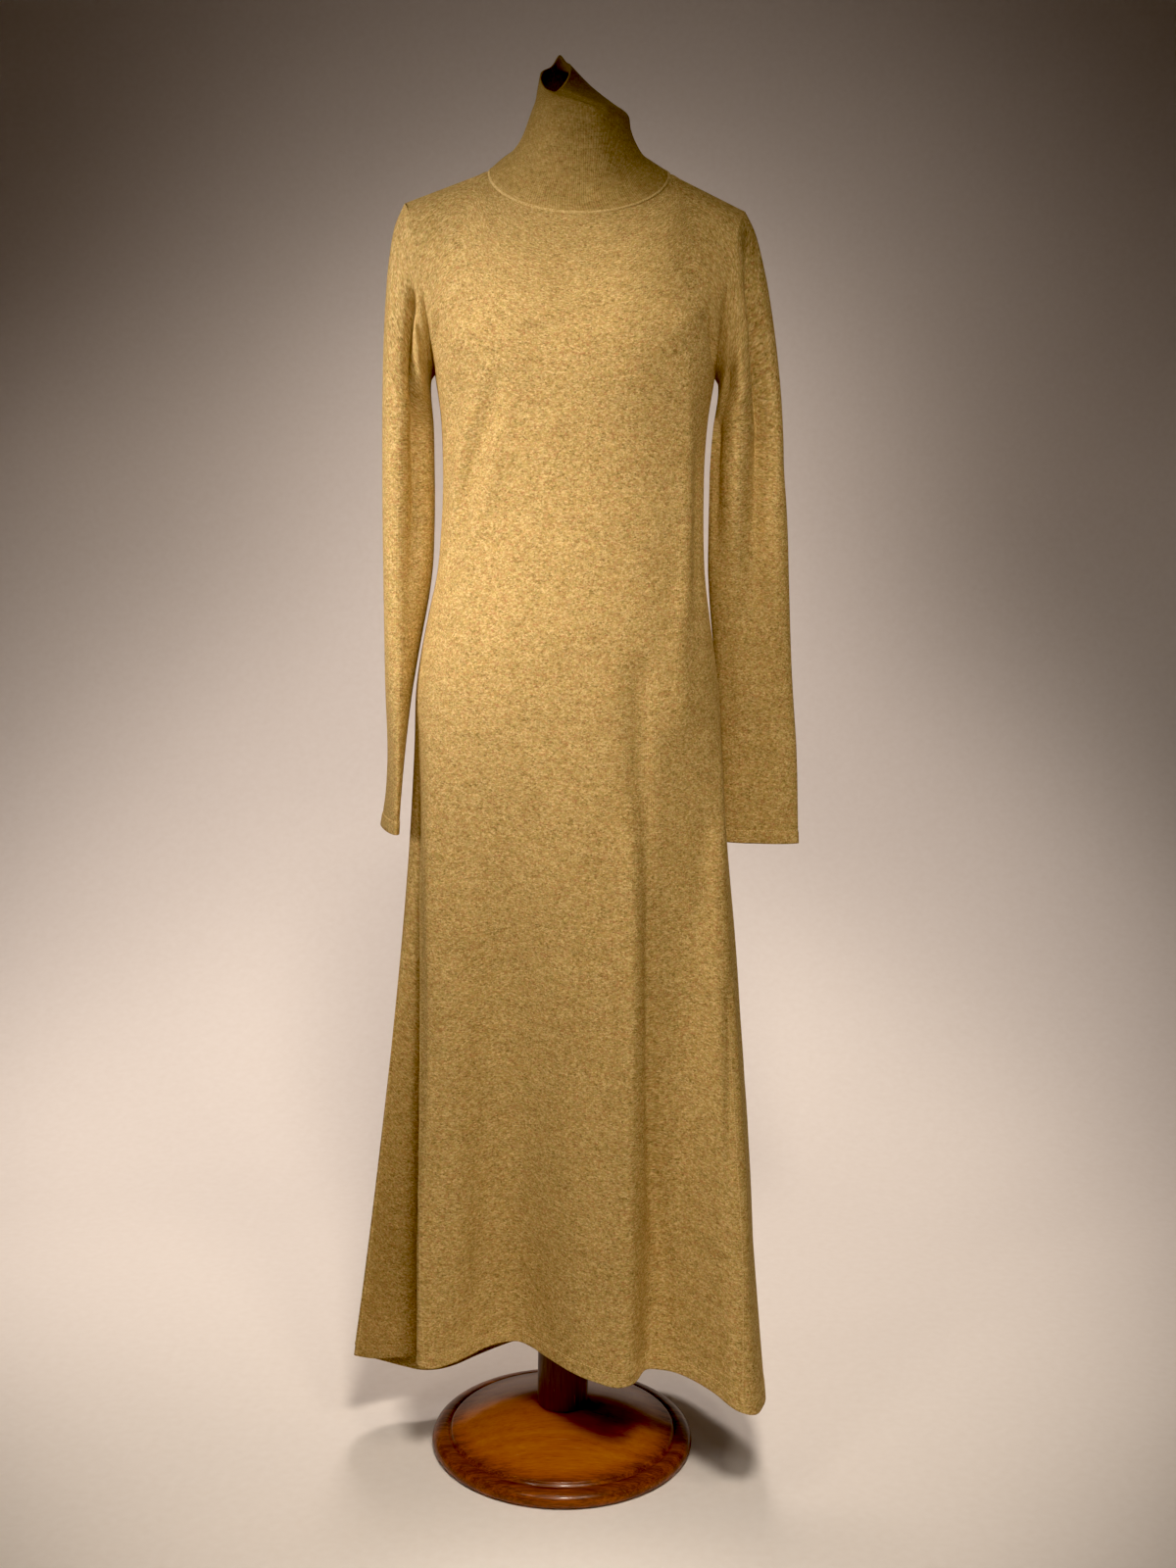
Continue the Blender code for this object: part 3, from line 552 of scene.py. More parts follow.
# Stitches of the plain pale yarn: half length, half width, half height, and pitch.
HEM_STITCH = (0.0015, 0.00060, 0.0005, 0.0036)
PALE_RUN_STITCH = (0.0011, 0.00070, 0.0005, 0.0026)
STITCH_SIDES, STITCH_RINGS = 8, 5
STITCH_PROUD = 0.35  # how far its middle lies above the cloth, as a share of its half height
YARN_HAIRS, YARN_RELIEF = 700.0, 0.0004  # hairs to the metre, and how far they stand up
# Runs of pale stitches down the front, (across, height) down each: at the left side, and on the
# wearer's right along the first fold's edge.
PALE_STITCH_RUNS = {
    "right": [(-0.1620, 0.700), (-0.1620, 0.450), (-0.1650, 0.307), (-0.1810, 0.148)],
    "left": [(0.2115, 0.560), (0.2270, 0.400), (0.2420, 0.285), (0.2580, 0.150)],
}
STITCH_RELIEF = 0.15  # as a share of the nap's relief
KNIT_RELIEF = 0.0008
RIB_RELIEF = 0.7  # as a share of the nap's relief
RIB_FURROW_SHADE = 0.81  # painted shade in the furrow between two ribs: how light the yarn is drawn there
RIB_FLANK = 0.4  # the height on a rib's side, -1 to 1, above which the painted shade ends and the yarn has its full colour
RIB_MARL = 0.60  # how much the flecks differ in the rib, whose stitches are tighter


def column(table, index):
    return np.array([row[index] for row in table], float)


def read(table, at):
    """A table's columns, each as a smooth curve over its first column, read at these places."""
    return [through(column(table, 0), column(table, i), at) for i in range(1, len(table[0]))]


def unit(vectors):
    return vectors / np.linalg.norm(vectors, axis=-1)[..., None]


def section(height, turn):
    """Points of the bodice at these heights and turns, in degrees from the front's middle."""
    right, left, front, back = read(BODICE, height)
    side, fore = np.sin(np.radians(turn)), np.cos(np.radians(turn))
    power = 2 / ROUNDNESS
    x = (left + right) / 2 + (left - right) / 2 * np.sign(side) * abs(side) ** power
    y = np.where(fore > 0, -front, back) * abs(fore) ** power
    return np.stack(np.broadcast_arrays(x, y, height), axis=-1)


def eased(share):
    """A share from 0 to 1 that starts and ends gently."""
    return share * share * (3 - 2 * share)


def bust(points, share):
    """Moves the front's points out over the bust, and leaves its seams where they are."""
    away = np.zeros(points.shape[:-1])
    for side in (-BUST_SIDE, BUST_SIDE):
        across, up = points[..., 0] - side, points[..., 2] - BUST_HEIGHT
        away += np.exp(-(across**2 + up**2) / (2 * BUST_SPREAD**2))
    inward = np.clip((1 - abs(2 * share - 1)) / BUST_FADE, 0, 1)
    points[:-1, :, 1] -= (BUST_REACH * away * eased(inward))[:-1]
    return points


def seam_turns(share, at_seams, is_back):
    """The turn of each gore line, for a panel that starts at share 0 and ends at 1."""
    right, left = at_seams
    if is_back:
        return left + share * (360 + right - left)
    return right + share * (left - right)


def skirt(share, hem, is_back):
    """The rows from the hem up to just below the hip."""
    hip = section(np.full_like(share, HIP_HEIGHT), seam_turns(share, SEAMS_AT_HIP, is_back))
    *edge, late = read(hem, share * GORES)
    edge = np.stack(edge, axis=-1)
    rows = []
    for down in np.linspace(1, 0, SKIRT_ROWS, endpoint=False):
        opened = ((1 - late) * down + late * down**2)[:, None]
        row = hip + (edge - hip) * opened
        row[:, 2] = HIP_HEIGHT + (edge[:, 2] - HIP_HEIGHT) * down
        rows.append(row)
    return rows


def bodice(share, is_back):
    """The rows from the hip up to the underarm."""
    rows = []
    for up in np.linspace(0, 1, TORSO_ROWS):
        seams = [low + (high - low) * up for low, high in zip(SEAMS_AT_HIP, SEAMS_AT_UNDERARM)]
        height = HIP_HEIGHT + (UNDERARM_HEIGHT - HIP_HEIGHT) * up
        rows.append(section(np.full_like(share, height), seam_turns(share, seams, is_back)))
    return rows


def top_edge(share, is_back):
    """The shoulder seams and, between them, this panel's half of the neck seam."""
    forward, drop = NECK_BACK if is_back else NECK_FRONT
    facing = 1 if is_back else -1
    from_right = 1 - share if is_back else share
    neck_share = 1 - 2 * SHOULDER_SHARE
    neck_turn = np.radians(np.clip((from_right - SHOULDER_SHARE) / neck_share, 0, 1) * 180 - 90)
    x = NECK_MIDDLE + NECK_HALF_WIDTH * np.sin(neck_turn)
    y = facing * forward * np.cos(neck_turn)
    height = NECK_HEIGHT - drop * np.cos(neck_turn)
    for (tip_x, tip_height), outward in (
        (SHOULDER_TIPS[0], 1 - from_right / SHOULDER_SHARE),
        (SHOULDER_TIPS[1], 1 - (1 - from_right) / SHOULDER_SHARE),
    ):
        outward = np.clip(outward, 0, 1)
        x = x + (tip_x - x) * outward
        height = height + (tip_height - height) * outward
    return np.stack([x, y, height], axis=-1)


def yoke(share, is_back):
    """The rows above the underarm, up to the shoulder and neck seams."""
    turns = seam_turns(share, SEAMS_AT_UNDERARM, is_back)
    low = section(np.full_like(share, UNDERARM_HEIGHT), turns)
    high = top_edge(share, is_back)
    inward = 1 - abs(2 * share - 1)
    sideways = np.sign(share - 0.5) * (-1 if is_back else 1)
    facing = 1 if is_back else -1
    pulls = []
    for moment in (1, 2):
        out, fore, up = (
            through(column(YOKE_PULLS, 0), [row[moment][i] for row in YOKE_PULLS], inward)
            for i in range(3)
        )
        pulls.append(np.stack([out * sideways, fore * facing, up], axis=-1))
    steps = np.linspace(0, 1, YOKE_ROWS + 1)[1:]
    return [hermite(low, high, pulls[0], pulls[1], t) for t in steps]


def settle(points):
    """Evens out a panel's rows, in place, as cloth does. Its edges and armholes stay."""
    start, full = SETTLED_GORES
    gore = np.arange(1, GORES)
    free = np.clip((np.minimum(gore, GORES - gore) - start) / (full - start), 0, 1)
    step = SETTLING_STEP * free[:, None]
    for _ in range(SETTLING):
        beside = points[1:-1, :-2] + points[1:-1, 2:] + points[:-2, 1:-1] + points[2:, 1:-1]
        points[1:-1, 1:-1] += (beside / 4 - points[1:-1, 1:-1]) * step


def panel(hem, is_back):
    """The whole front or back: a row for each height, a column for each gore line."""
    share = np.linspace(0, 1, GORES + 1)
    points = np.array(skirt(share, hem, is_back) + bodice(share, is_back) + yoke(share, is_back))
    settle(points[SKIRT_ROWS + TORSO_ROWS - SETTLED_ROWS :])
    return points if is_back else bust(points, share)


def gone_along(points, axis):
    """How far each point of a grid lies along its line, from the line's start."""
    steps = np.linalg.norm(np.diff(points, axis=axis), axis=-1)
    zero = np.zeros_like(np.take(steps, [0], axis=axis))
    return np.cumsum(np.concatenate([zero, steps], axis=axis), axis=axis)


def ways_out(points, is_tube):
    """The way out of the cloth at each point of a grid."""
    if is_tube:
        wide = np.concatenate([points[:, -2:-1], points, points[:, 1:2]], axis=1)
        along = np.gradient(wide, axis=1)[:, 1:-1]
    else:
        along = np.gradient(points, axis=1)
    return unit(np.cross(along, np.gradient(points, axis=0)))


def crease(across, height, width, run):
    """How far a crease moves each point out: a soft ridge, or a trough if negative, along
    the run's points, fading to nothing a few widths away."""
    nearest = np.full(across.shape, np.inf)
    moved = np.zeros(across.shape)
    for (x0, z0, d0), (x1, z1, d1) in zip(run[:-1], run[1:]):
        length = max((x1 - x0) ** 2 + (z1 - z0) ** 2, 1e-9)
        t = np.clip(((across - x0) * (x1 - x0) + (height - z0) * (z1 - z0)) / length, 0, 1)
        away = (across - x0 - (x1 - x0) * t) ** 2 + (height - z0 - (z1 - z0) * t) ** 2
        closer = away < nearest
        nearest = np.where(closer, away, nearest)
        moved = np.where(closer, d0 + (d1 - d0) * eased(t), moved)
    return moved * np.exp(-nearest / (2 * width**2))


def moved_out(across, height, from_seam, creases):
    """How far all of a table's creases move each point out. They fade at a sewn seam."""
    moved = sum(crease(across, height, width / 1000, np.array(run) / 1000) for width, *run in creases)
    return moved * (1 - np.exp(-((from_seam / CREASE_FADE) ** 2)))


def turned_edge(from_edge):
    """A stitched turning: twice the cloth up to the stitches, which pull it in."""
    swell = HEM_SWELL * (1 - np.tanh((from_edge - HEM_TURN) / HEM_EDGE)) / 2
    return swell - HEM_PULL * np.exp(-(((from_edge - HEM_TURN) / HEM_EDGE) ** 2))


def add_cloth(name, outside, inward, across, along, material, is_tube=False):
    """A closed thin wall of knit: a grid outside, its copy moved in, and a flat strip along each
    edge. The sewn edges are crisp, so that they shade as one cloth; the hem, cuff or rim is not."""
    inside = outside + inward
    rows, columns = outside.shape[:2]
    kept = columns - 1 if is_tube else columns
    index = np.arange(rows * kept).reshape(rows, kept)
    if is_tube:
        index = np.concatenate([index, index[:, :1]], axis=1)
    places = np.stack([across, along], axis=-1)
    out_faces, out_places = cells(index).reshape(-1, 4), cells(places).reshape(-1, 4, 2)
    count = rows * kept
    faces = [out_faces, out_faces[:, ::-1] + count]
    uv = [out_places, out_places[:, ::-1]]
    edges = [(index[0], places[0], 1), (index[-1], places[-1], -1)]
    if not is_tube:
        edges += [(index[:, 0], places[:, 0], -1), (index[:, -1], places[:, -1], 1)]
    for line, spots, way in edges:
        a, b, p, q = line[:-1], line[1:], spots[:-1], spots[1:]
        if way < 0:
            a, b, p, q = b, a, q, p
        faces.append(np.stack([b, a, a + count, b + count], axis=-1))
        uv.append(np.stack([q, p, p, q], axis=-2))
    points = np.concatenate([outside[:, :kept].reshape(-1, 3), inside[:, :kept].reshape(-1, 3)])
    piece = add_mesh(name, points, np.concatenate(faces).tolist(), material, np.concatenate(uv))
    mark_crisp(piece, [index[0]] if is_tube else [index[-1], index[:, 0], index[:, -1]])
    return piece


def marled_knit(name, marl=1.0, rib_pitch=None):
    """Fine weft knit of a marled wool-blend yarn, with a soft nap: short flecks of each ply
    run along the courses, their mixture drifts slowly, and small stitches roughen it. Ribs,
    if any, stand up the cloth, with painted shade drawn into the furrows between them. To the
    eye it is matt, warm and speckled."""
    material, tree, shader = new_material(
        name,
        Roughness=0.92,
        IOR=1.45,
        Specular_IOR_Level=0.20,
        Sheen_Weight=0.20,
        Sheen_Roughness=0.40,
        Sheen_Tint=linear(YARN_STRAW),
    )
    place = add_node(tree, "UVMap", uv_map="cloth")
    layers = []
    for kind, size, detail in (
        ("TexVoronoi", FLECK, 0.0),
        ("TexVoronoi", FINE_FLECK, 0.0),
        ("TexNoise", RUST_FLECK, 2.0),
        ("TexNoise", DRIFT, 3.0),
        ("TexNoise", FUZZ, 2.0),
    ):
        stretch = (1 / size[0], 1 / size[1], 1)
        scaled = add_node(tree, "Mapping", {"Vector": place, "Scale": stretch})
        spots = add_node(tree, kind, {"Vector": scaled, "Scale": 1.0, "Detail": detail})
        layers.append(spots.outputs["Color"])
    flecks, fine_flecks, rust, drift, fuzz = layers
    plies = []
    for spots in (flecks, fine_flecks):
        chance = add_node(tree, "SeparateColor", {0: spots})
        plies.append(add_node(tree, "ValToRGB", {0: chance}, YARN_MIXTURE, "CONSTANT"))
    colour = add_node(tree, "Mix", {0: 0.5, 6: plies[0], 7: plies[1]}, data_type="RGBA")
    colour = add_node(tree, "Mix", {0: marl, 6: linear(YARN_OCHRE), 7: colour}, data_type="RGBA")
    rusty = add_node(tree, "MapRange", {0: rust, 1: RUST[0], 2: RUST[1], 4: RUST[2] * marl})
    colour = add_node(tree, "Mix", {0: rusty, 6: colour, 7: linear(YARN_RUST)}, data_type="RGBA")
    low, high = NOISE_RANGE
    drifted, napped = (
        add_node(tree, "MapRange", {0: layer, 1: low, 2: high, 3: darkest, 4: lightest})
        for layer, darkest, lightest in (
            (drift, *DRIFT_SHADES),
            (fuzz, 1 - FUZZ_SHADE * marl, 1 + FUZZ_SHADE * marl),
        )
    )
    shade = add_node(tree, "Math", {0: drifted, 1: napped}, operation="MULTIPLY")

    split = add_node(tree, "SeparateXYZ", {0: place}).outputs
    waves = []
    for axis, pitch in ((0, STITCH[0]), (1, STITCH[1]), (0, rib_pitch or STITCH[0])):
        turns = add_node(tree, "Math", {0: split[axis], 1: 2 * math.pi / pitch}, operation="MULTIPLY")
        waves.append(add_node(tree, "Math", {0: turns}, operation="COSINE"))
    height = add_node(tree, "Math", {0: waves[0], 1: waves[1]}, operation="ADD")
    height = add_node(tree, "Math", {0: height, 1: STITCH_RELIEF, 2: fuzz}, operation="MULTIPLY_ADD")
    if rib_pitch:
        ribbed = {0: waves[2], 1: RIB_RELIEF, 2: height}
        height = add_node(tree, "Math", ribbed, operation="MULTIPLY_ADD")
        # painted shade: the yarn is drawn darker in the furrows between ribs
        painted_furrow_shade = add_node(tree, "MapRange", {0: waves[2], 1: -1.0, 2: RIB_FLANK, 3: RIB_FURROW_SHADE, 4: 1.0})
        shade = add_node(tree, "Math", {0: shade, 1: painted_furrow_shade}, operation="MULTIPLY")
    shaded = add_node(tree, "VectorMath", {0: colour, "Scale": shade}, operation="SCALE")
    bump = add_node(tree, "Bump", {"Height": height, "Strength": 0.5, "Distance": KNIT_RELIEF})
    connect(tree, shader, {"Base Color": shaded, "Normal": bump})
    return material


def pale_knit_yarn(name):
    """The paler of the plies, used alone for linking and stitching: matt, a little hairy."""
    material, tree, shader = new_material(
        name,
        Roughness=0.9,
        IOR=1.45,
        Specular_IOR_Level=0.20,
        Sheen_Weight=0.20,
        Sheen_Tint=linear(YARN_STRAW),
    )
    place = add_node(tree, "TexCoord").outputs["Object"]
    hair = add_node(tree, "TexNoise", {"Vector": place, "Scale": YARN_HAIRS, "Detail": 3.0})
    colour = add_node(tree, "ValToRGB", {0: hair}, [(0.35, YARN_OCHRE), (0.60, PALE_YARN)])
    bump = add_node(tree, "Bump", {"Height": hair, "Strength": 0.5, "Distance": YARN_RELIEF})
    connect(tree, shader, {"Base Color": colour, "Normal": bump})
    return material


def add_stitches(name, line, outward, size, material):
    """A row of small rounded stitches along a line of points on the cloth."""
    half_length, half_width, half_height, pitch = size
    gone = gone_along(line[None], 1)[0]
    places = np.arange(pitch / 2, gone[-1], pitch)
    centres, ends, starts, up = (
        np.stack([np.interp(places + step, gone, values[:, i]) for i in range(3)], axis=-1)
        for step, values in ((0, line), (pitch / 3, line), (-pitch / 3, line), (0, outward))
    )
    ahead = unit(ends - starts)
    side = unit(np.cross(up, ahead))
    up = np.cross(ahead, side)
    centres = centres + up * (half_height * STITCH_PROUD)
    lat = np.linspace(0, math.pi, STITCH_RINGS + 1)[1:-1]
    lon = np.linspace(0, 2 * math.pi, STITCH_SIDES, endpoint=False)
    shape = [
        (-math.cos(a), math.sin(a) * math.cos(b), math.sin(a) * math.sin(b)) for a in lat for b in lon
    ]
    shape = np.array([(-1, 0, 0)] + shape + [(1, 0, 0)]) * (half_length, half_width, half_height)
    faces = []
    last_ring = 1 + (STITCH_RINGS - 2) * STITCH_SIDES
    for i in range(STITCH_SIDES):
        j = (i + 1) % STITCH_SIDES
        faces += [(0, 1 + j, 1 + i), (last_ring + i, last_ring + j, len(shape) - 1)]
        for low in range(1, last_ring, STITCH_SIDES):
            faces.append((low + i, low + j, low + STITCH_SIDES + j, low + STITCH_SIDES + i))
    points = sum(shape[None, :, [axis]] * way[:, None] for axis, way in enumerate((ahead, side, up)))
    firsts = range(0, len(places) * len(shape), len(shape))
    all_faces = [tuple(first + k for k in face) for first in firsts for face in faces]
    row = add_mesh(name, (centres[:, None] + points).reshape(-1, 3), all_faces, material)
    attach(row, "root")
    return row


def at_turning(grid, outward, from_edge):
    """The line of the cloth where its turned edge is stitched."""
    row = int(np.abs(from_edge.mean(axis=1) - HEM_TURN).argmin())
    return grid[row], outward[row]


knit = marled_knit("marled wool-blend knit, brushed")
pale_yarn = pale_knit_yarn("pale linking yarn")

front_lines = panel(FRONT_HEM, is_back=False)
back_lines = panel(BACK_HEM, is_back=True)
row_gaps = [
    np.linalg.norm(np.diff(lines, axis=0), axis=-1).mean(axis=1)
    for lines in (front_lines, back_lines)
]
row_knots = running(np.mean(row_gaps, axis=0))
gore_knots = np.arange(GORES + 1)
row_places = np.concatenate(
    [
        np.arange(0, HEM_ZONE, HEM_STEP),
        np.linspace(HEM_ZONE, row_knots[-1], round((row_knots[-1] - HEM_ZONE) / ROW_STEP)),
    ]
)
gore_places = np.linspace(0, GORES, GORES * GORE_STEPS + 1)


def sink_armhole(grid, from_seam):
    """Sinks the cloth into the fold at the armhole's lower half, alike on panel and sleeve."""
    depth, height, spread, reach, turnover = ARMHOLE_SINK
    near = np.exp(-(((grid[..., 2] - height) / spread) ** 2) - (from_seam / reach) ** 2)
    grid[..., 1] -= np.tanh(grid[..., 1] / turnover) * near * depth
    return grid


def line_on(grid, outward, across, run):
    """The points of a panel along a run of (across, height), with their ways out."""
    run = np.array(sorted(run, key=lambda place: place[1]))
    points, ways = [], []
    for row in range(len(grid)):
        at = 0.0
        for _ in range(4):  # each turn reads the run at the height that the last one found
            at = np.interp(np.interp(at, across[row], grid[row, :, 2]), run[:, 1], run[:, 0])
        point = [np.interp(at, across[row], grid[row, :, i]) for i in range(3)]
        if run[0, 1] <= point[2] <= run[-1, 1]:
            points.append(point)
            ways.append([np.interp(at, across[row], outward[row, :, i]) for i in range(3)])
    return np.array(points), np.array(ways)


def cut_panel(lines, creases):
    """A panel's fine grid with its creases, seams and hem, and its places on the cloth."""
    grid = through(row_knots, lines, row_places)
    grid = through(gore_knots, grid.swapaxes(0, 1), gore_places).swapaxes(0, 1)
    across = gone_along(grid, 1)
    from_seam = np.minimum(across, across[:, -1:] - across)
    across = across - across[:, [across.shape[1] // 2]]
    height = grid[..., 2]
    moved = moved_out(across, height, from_seam, creases)
    start, full = SIDE_SEAM_TOP
    below_arm = np.clip((UNDERARM_HEIGHT + start - height) / full, 0, 1)
    moved -= SEAM_DIP * below_arm * np.exp(-((from_seam / SEAM_SPREAD) ** 2))
    moved += turned_edge(gone_along(grid, 0))
    out = ways_out(grid, False)
    grid = sink_armhole(grid + out * moved[..., None], from_seam)
    return grid, ways_out(grid, False), across, row_places[:, None] + 0 * across


front_grid, front_out, front_across, front_along = cut_panel(front_lines, FRONT_CREASES)
back_grid, back_out, back_across, back_along = cut_panel(back_lines, BACK_CREASES)
front = add_cloth("front", front_grid, -front_out * WALL, front_across, front_along, knit)
back = add_cloth("back", back_grid, -back_out * WALL, back_across, back_along, knit)
hem = at_turning(front_grid, front_out, gone_along(front_grid, 0))
front_trim = [add_stitches("front-hem-stitches", *hem, HEM_STITCH, pale_yarn)]
for side, run in PALE_STITCH_RUNS.items():
    line = line_on(front_grid, front_out, front_across, run)
    front_trim.append(add_stitches(f"pale-stitch-run-{side}", *line, PALE_RUN_STITCH, pale_yarn))
hem = at_turning(back_grid, back_out, gone_along(back_grid, 0))
back_trim = [add_stitches("back-hem-stitches", *hem, HEM_STITCH, pale_yarn)]
for piece, node, cut, area, trim in (
    (front, "dress_front", FRONT_CUT, FRONT_AREA, front_trim),
    (back, "dress_back", BACK_CUT, BACK_AREA, back_trim),
):
    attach(piece, "root")
    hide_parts(node)


# ---- Sleeves ----
# Two tubes of the same knit, set into the armholes and hanging empty, so that the upper
# arm is rounder and the cuff is nearly flat. The cuff is turned up and stitched as the hem.

SLEEVE_ROWS = 12  # below the sleeve's head
HEAD_ROWS = 6  # the sleeve's head, from the armhole down to its first section
# Sections, top to cuff: across is the half width sideways, along the half width front to
# back, and turn the degrees that the section is twisted seen from above.
SLEEVE_RIGHT = [
    # height    x       y     across   along   turn
    (1.186, -0.1831, 0.000, 0.0280, 0.0390, 0.0),
    (1.100, -0.1826, 0.001, 0.0287, 0.0370, 0.0),
    (1.019, -0.1840, 0.002, 0.0265, 0.0380, 0.0),
    (0.964, -0.1885, 0.003, 0.0215, 0.0400, 3.0),
    (0.899, -0.1937, 0.003, 0.0155, 0.0420, 6.0),
    (0.839, -0.1964, 0.002, 0.0105, 0.0430, 9.0),
    (0.784, -0.1996, 0.001, 0.0075, 0.0430, 12.0),
    (0.739, -0.2044, 0.002, 0.0070, 0.0430, 16.0),
]
SLEEVE_LEFT = [
    # height    x       y     across   along   turn
    (1.186, 0.1887, 0.000, 0.0385, 0.0320, 0.0),
    (1.140, 0.1890, 0.002, 0.0410, 0.0300, 0.0),
    (1.100, 0.1914, 0.006, 0.0430, 0.0280, 2.0),
    (1.020, 0.1956, 0.018, 0.0450, 0.0240, 4.0),
    (0.960, 0.2014, 0.030, 0.0440, 0.0210, 5.0),
    (0.901, 0.2076, 0.038, 0.0430, 0.0180, 5.0),
    (0.841, 0.2139, 0.042, 0.0430, 0.0150, 4.0),
    (0.722, 0.2204, 0.043, 0.0430, 0.0110, 2.0),
]
# How strongly the head leaves the armhole outwards and down, and how strongly it arrives,
# hanging, at its first section: at the underarm, then at the shoulder.
SLEEVE_HEAD_OUT = (0.030, 0.070)
SLEEVE_HEAD_DOWN = (0.020, 0.070)
SLEEVE_HANG = (0.051, 0.170)
SLEEVE_ROW_STEP = 0.0045
SLEEVE_STEPS = 10  # between two lines of the sleeve
# Creases as on the front and back, where across starts at the sleeve's outer line, to the
# back on the wearer's right sleeve and to the front on the left one.
RIGHT_SLEEVE_CREASES = [
    # a slanting hollow from the armhole down the inner side
    (8, (-70, 1352, 0), (-81, 1338, -3), (-129.7, 1291, -7), (-180, 1254, 0)),
    (12, (-88, 1345, 0), (-96, 1300, -13), (-90, 1270, -18), (-72, 1172, -19), (-64.3, 1085, -15),
        (-56, 980, -6), (-52, 900, 0)),
    # the outer side, and behind
    (13, (-15.7, 1400, 0), (-35, 1330, 3), (-48, 1222, 4), (-42.6, 1076, 4), (-38, 850, 0)),
    (8, (30, 1330, 0), (45, 1250, -4), (52, 1150, -6), (48, 1000, 0)),
    (8, (20, 1000, 0), (16, 930, -2.4), (20, 860, -2), (22, 800, 0)),
    (7, (95, 1300, 0), (120, 1268, -4), (150, 1250, 0)),
]
LEFT_SLEEVE_CREASES = [
    # the long hollow down the front of the sleeve, and the soft ridge beside it
    (11.5, (20, 1410, 0), (34, 1365, -12), (48, 1327, -20), (44, 1270, -27), (40, 1235, -28),
        (38, 1195, -26), (46, 1103, -19), (48, 1036, -12), (44, 950, -5), (42, 870, 0)),
    (8.5, (110, 1290, 0), (86, 1255, 8), (70, 1226, 11), (68, 1176, 10), (71, 1121, 8), (74, 1000, 0)),
    (8, (50, 900, 0), (52.1, 861, -3), (51.8, 757, -3), (52, 730, -1.5)),
    # beside the body
    (8, (128, 1262, 0), (108, 1222, -7), (101, 1180, -8), (98, 1120, -6), (96, 1020, 0)),
    # behind
    (9, (-25, 1340, 0), (-40, 1270, -5), (-45, 1170, -7), (-42, 1020, 0)),
    (8, (-60, 1250, 0), (-70, 1180, 3.4), (-68, 1100, 4), (-62, 1000, 0)),
    (7, (-95, 1300, 0), (-115, 1262, -4), (-140, 1245, 0)),
]


def armhole(is_left):
    """The ring of points that a sleeve is sewn to, from the underarm by way of the front
    on the wearer's right, and by way of the back on the left."""
    first = SKIRT_ROWS + TORSO_ROWS - 1
    if is_left:
        up, down = back_lines[first:, 0], front_lines[first:, -1]
    else:
        up, down = front_lines[first:, 0], back_lines[first:, -1]
    return np.concatenate([up, down[-2::-1]])


def sleeve(ring, table, is_left):
    """The sleeve's rings from the armhole down to the cuff."""
    side = 1 if is_left else -1
    around = np.linspace(0, 2 * math.pi, len(ring))
    heights = np.linspace(table[0][0], table[-1][0], SLEEVE_ROWS + 1)
    rings = []
    for height in heights:
        x, y, across, along, turn = (values[0] for values in read(table[::-1], height))
        aside = -side * across * np.cos(around)
        fore = side * along * np.sin(around)
        twist = math.radians(turn) * side * -1
        ring_x = x + aside * math.cos(twist) - fore * math.sin(twist)
        ring_y = y + aside * math.sin(twist) + fore * math.cos(twist)
        rings.append(np.stack([ring_x, ring_y, np.full_like(around, height)], axis=-1))
    raised = ((ring[:, 2] - ring[0, 2]) / np.ptp(ring[:, 2]))[:, None]
    out, down, hang = (
        low + (high - low) * raised
        for low, high in (SLEEVE_HEAD_OUT, SLEEVE_HEAD_DOWN, SLEEVE_HANG)
    )
    leave = np.concatenate([side * out, 0 * raised, -down], axis=1)
    arrive = unit(rings[1] - rings[0]) * hang
    steps = np.linspace(0, 1, HEAD_ROWS, endpoint=False)
    return np.array([hermite(ring, rings[0], leave, arrive, t) for t in steps] + rings)


def ring_through(rings, knots, steps):
    """A tube's rings drawn finer, smoothly also where each ring closes."""
    before = knots[0] - (knots[-1] - knots[-3:-1])
    after = knots[-1] + (knots[1:3] - knots[0])
    wide = np.concatenate([rings[:, -3:-1], rings, rings[:, 1:3]], axis=1).swapaxes(0, 1)
    at = np.interp(np.arange(0, len(knots) - 1 + 0.5 / steps, 1 / steps), range(len(knots)), knots)
    return through(np.concatenate([before, knots, after]), wide, at).swapaxes(0, 1)


def cut_tube(rings, knots, row_step, steps, creases):
    """A tube's fine grid from its sewn ring to its free edge, with its creases and places."""
    row_at = running(np.linalg.norm(np.diff(rings, axis=0), axis=-1).mean(axis=1))
    length = row_at[-1]
    at = np.concatenate(
        [
            np.linspace(0, length - HEM_ZONE, round((length - HEM_ZONE) / row_step)),
            np.linspace(length - HEM_ZONE, length, round(HEM_ZONE / HEM_STEP) + 1)[1:],
        ]
    )
    grid = ring_through(through(row_at, rings, at), knots, steps)
    across = gone_along(grid, 1)
    across = across - across[:, [across.shape[1] // 2]]
    from_seam = gone_along(grid, 0)
    moved = moved_out(across, grid[..., 2], from_seam, creases)
    return grid, moved, across, at[:, None] + 0 * across, from_seam, from_seam[-1:] - from_seam


